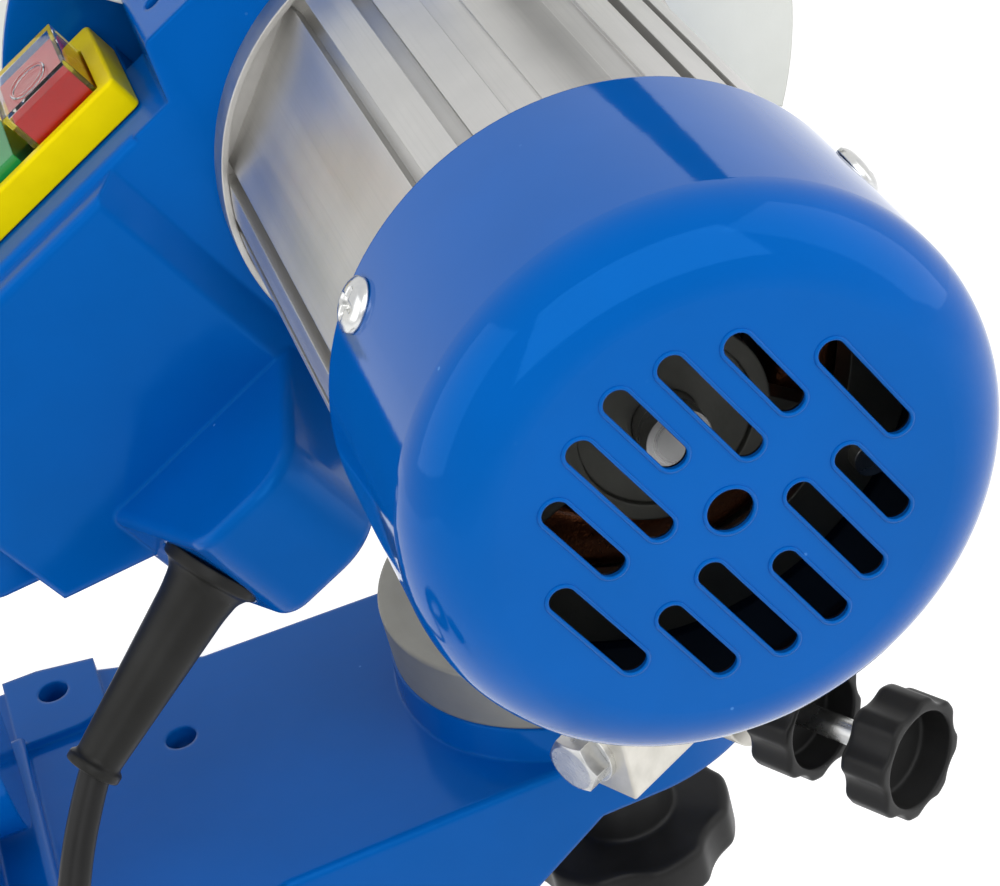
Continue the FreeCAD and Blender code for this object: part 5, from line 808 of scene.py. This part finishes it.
makeSlotLips(slotSettings)

# grip of the handle: ribs along a soft rubber barrel

gripSettings = {
    "centre": headPlace(-0.034, 0, 0.057), "axis": headAlong, "first": sideways, "second": headUp,
    "ribs": 24, "ribHeight": 0.00045,
    "profile": [
        (0, -0.150, 0, 0), (0.0128, -0.150, 0, 0.006), (0.0118, -0.138, 0, 0.004),
        (0.0125, -0.128, 1, 0.004), (0.0125, -0.082, 1, 0.004), (0.0116, -0.070, 0, 0.004),
        (0.0128, -0.060, 0, 0.004), (0.0051, -0.060, 0, 0.0006), (0.0051, -0.070, 0, 0),
    ],
}
turnedPiece("handleGripRibbed", "head", "blackRubber", gripSettings, "handle_grip", columns=240, crease=60)

# raised ring on the clear cover of the stop button

coverRingSettings = {"centre": (-0.0310, 0.0548, 0.0683), "radius": 0.0044, "bead": 0.0005, "points": 72}


def makeCoverRing(s):
    t = np.linspace(0, 2 * math.pi, s["points"], endpoint=False)[:, None]
    line = headPlace(*s["centre"]) + s["radius"] * (np.cos(t) * sideways + np.sin(t) * headAlong)
    newObject("coverRing", finished(beadRing("coverRing", line, headUp, s["bead"], "clearPlastic")), "stop_press")


makeCoverRing(coverRingSettings)
print("stage: screws, lips, grip and cover")

# stage and light

stageSettings = {
    "benchSize": (1.2, 0.9, 0.03), "benchFront": -0.0505, "benchGap": 0.0001,
    "floorBelow": 0.3, "floorReach": 6.0, "floorColour": (0.8, 0.8, 0.8), "lift": 0.55, "worldLevel": 0.62,
}
lamps = {
    "key": {"at": (-1.15, -0.15, 1.0), "to": (-0.05, -0.08, 0.15), "size": (1.5, 1.2), "watts": 10.5},
    "side": {"at": (-0.2, 1.1, 0.75), "to": (-0.05, -0.05, 0.12), "size": (1.1, 1.2), "watts": 5.0},
    "front": {"at": (-0.5, -1.1, 0.55), "to": (-0.05, -0.1, 0.15), "size": (0.9, 1.3), "watts": 4.0},
}


def paleMaterial(s):
    material = bpy.data.materials.new("pale")
    material.use_nodes = True
    tree = material.node_tree
    tree.nodes.clear()
    level = addNode(tree, "Math", {0: seenShare(tree), 1: s["lift"]}, operation="MULTIPLY").outputs[0]
    soft = addNode(tree, "BsdfDiffuse", {"Color": (*s["floorColour"], 1)}).outputs[0]
    glow = addNode(tree, "Emission", {"Color": (1, 1, 1, 1), "Strength": level}).outputs[0]
    both = addNode(tree, "AddShader", {0: soft, 1: glow}).outputs[0]
    addNode(tree, "OutputMaterial", {"Surface": both})
    return material


def makeStage(s):
    # a bench top under the bracket's foot, behind its lip, and a wide floor below
    pale = paleMaterial(s)
    wide, deep, thick = s["benchSize"]
    front = s["benchFront"]
    across, along, up = (-wide / 2, wide / 2), (front, front + deep), (-thick, -s["benchGap"])
    corners = [(x, y, z) for z in up for y in along for x in across]
    faces = [(0, 2, 3, 1), (4, 5, 7, 6), (0, 1, 5, 4), (2, 6, 7, 3), (0, 4, 6, 2), (1, 3, 7, 5)]
    bench = bpy.data.meshes.new("bench")
    bench.from_pydata(corners, [], faces)
    far = s["floorReach"]
    ground = [(x, y, -s["floorBelow"]) for x, y in ((-far, -far), (far, -far), (far, far), (-far, far))]
    floor = bpy.data.meshes.new("floor")
    floor.from_pydata(ground, [], [(0, 1, 2, 3)])
    for mesh in (bench, floor):
        mesh.materials.append(pale)
        newObject(mesh.name, mesh, None)


def makeLight(s):
    world = bpy.data.worlds.new("studio")
    bpy.context.scene.world = world
    world.use_nodes = True
    tree = world.node_tree
    tree.nodes.clear()
    level = spread(tree, seenShare(tree), 0, 1, s["worldLevel"], 1)
    sky = addNode(tree, "Background", {"Color": (1, 1, 1, 1), "Strength": level}).outputs[0]
    addNode(tree, "OutputWorld", {"Surface": sky})
    for name, lamp in lamps.items():
        light = bpy.data.lights.new(name, "AREA")
        light.shape = "RECTANGLE"
        light.size, light.size_y = lamp["size"]
        light.energy = lamp["watts"]
        lampObject = bpy.data.objects.new(name, light)
        bpy.context.scene.collection.objects.link(lampObject)
        way = Vector(lamp["to"]) - Vector(lamp["at"])
        turn = way.to_track_quat("-Z", "Y").to_matrix().to_4x4()
        lampObject.matrix_world = Matrix.Translation(lamp["at"]) @ turn


makeStage(stageSettings)
makeLight(stageSettings)
bpy.context.scene.view_settings.view_transform = "Standard"
print("stage: bench, floor and lamps")
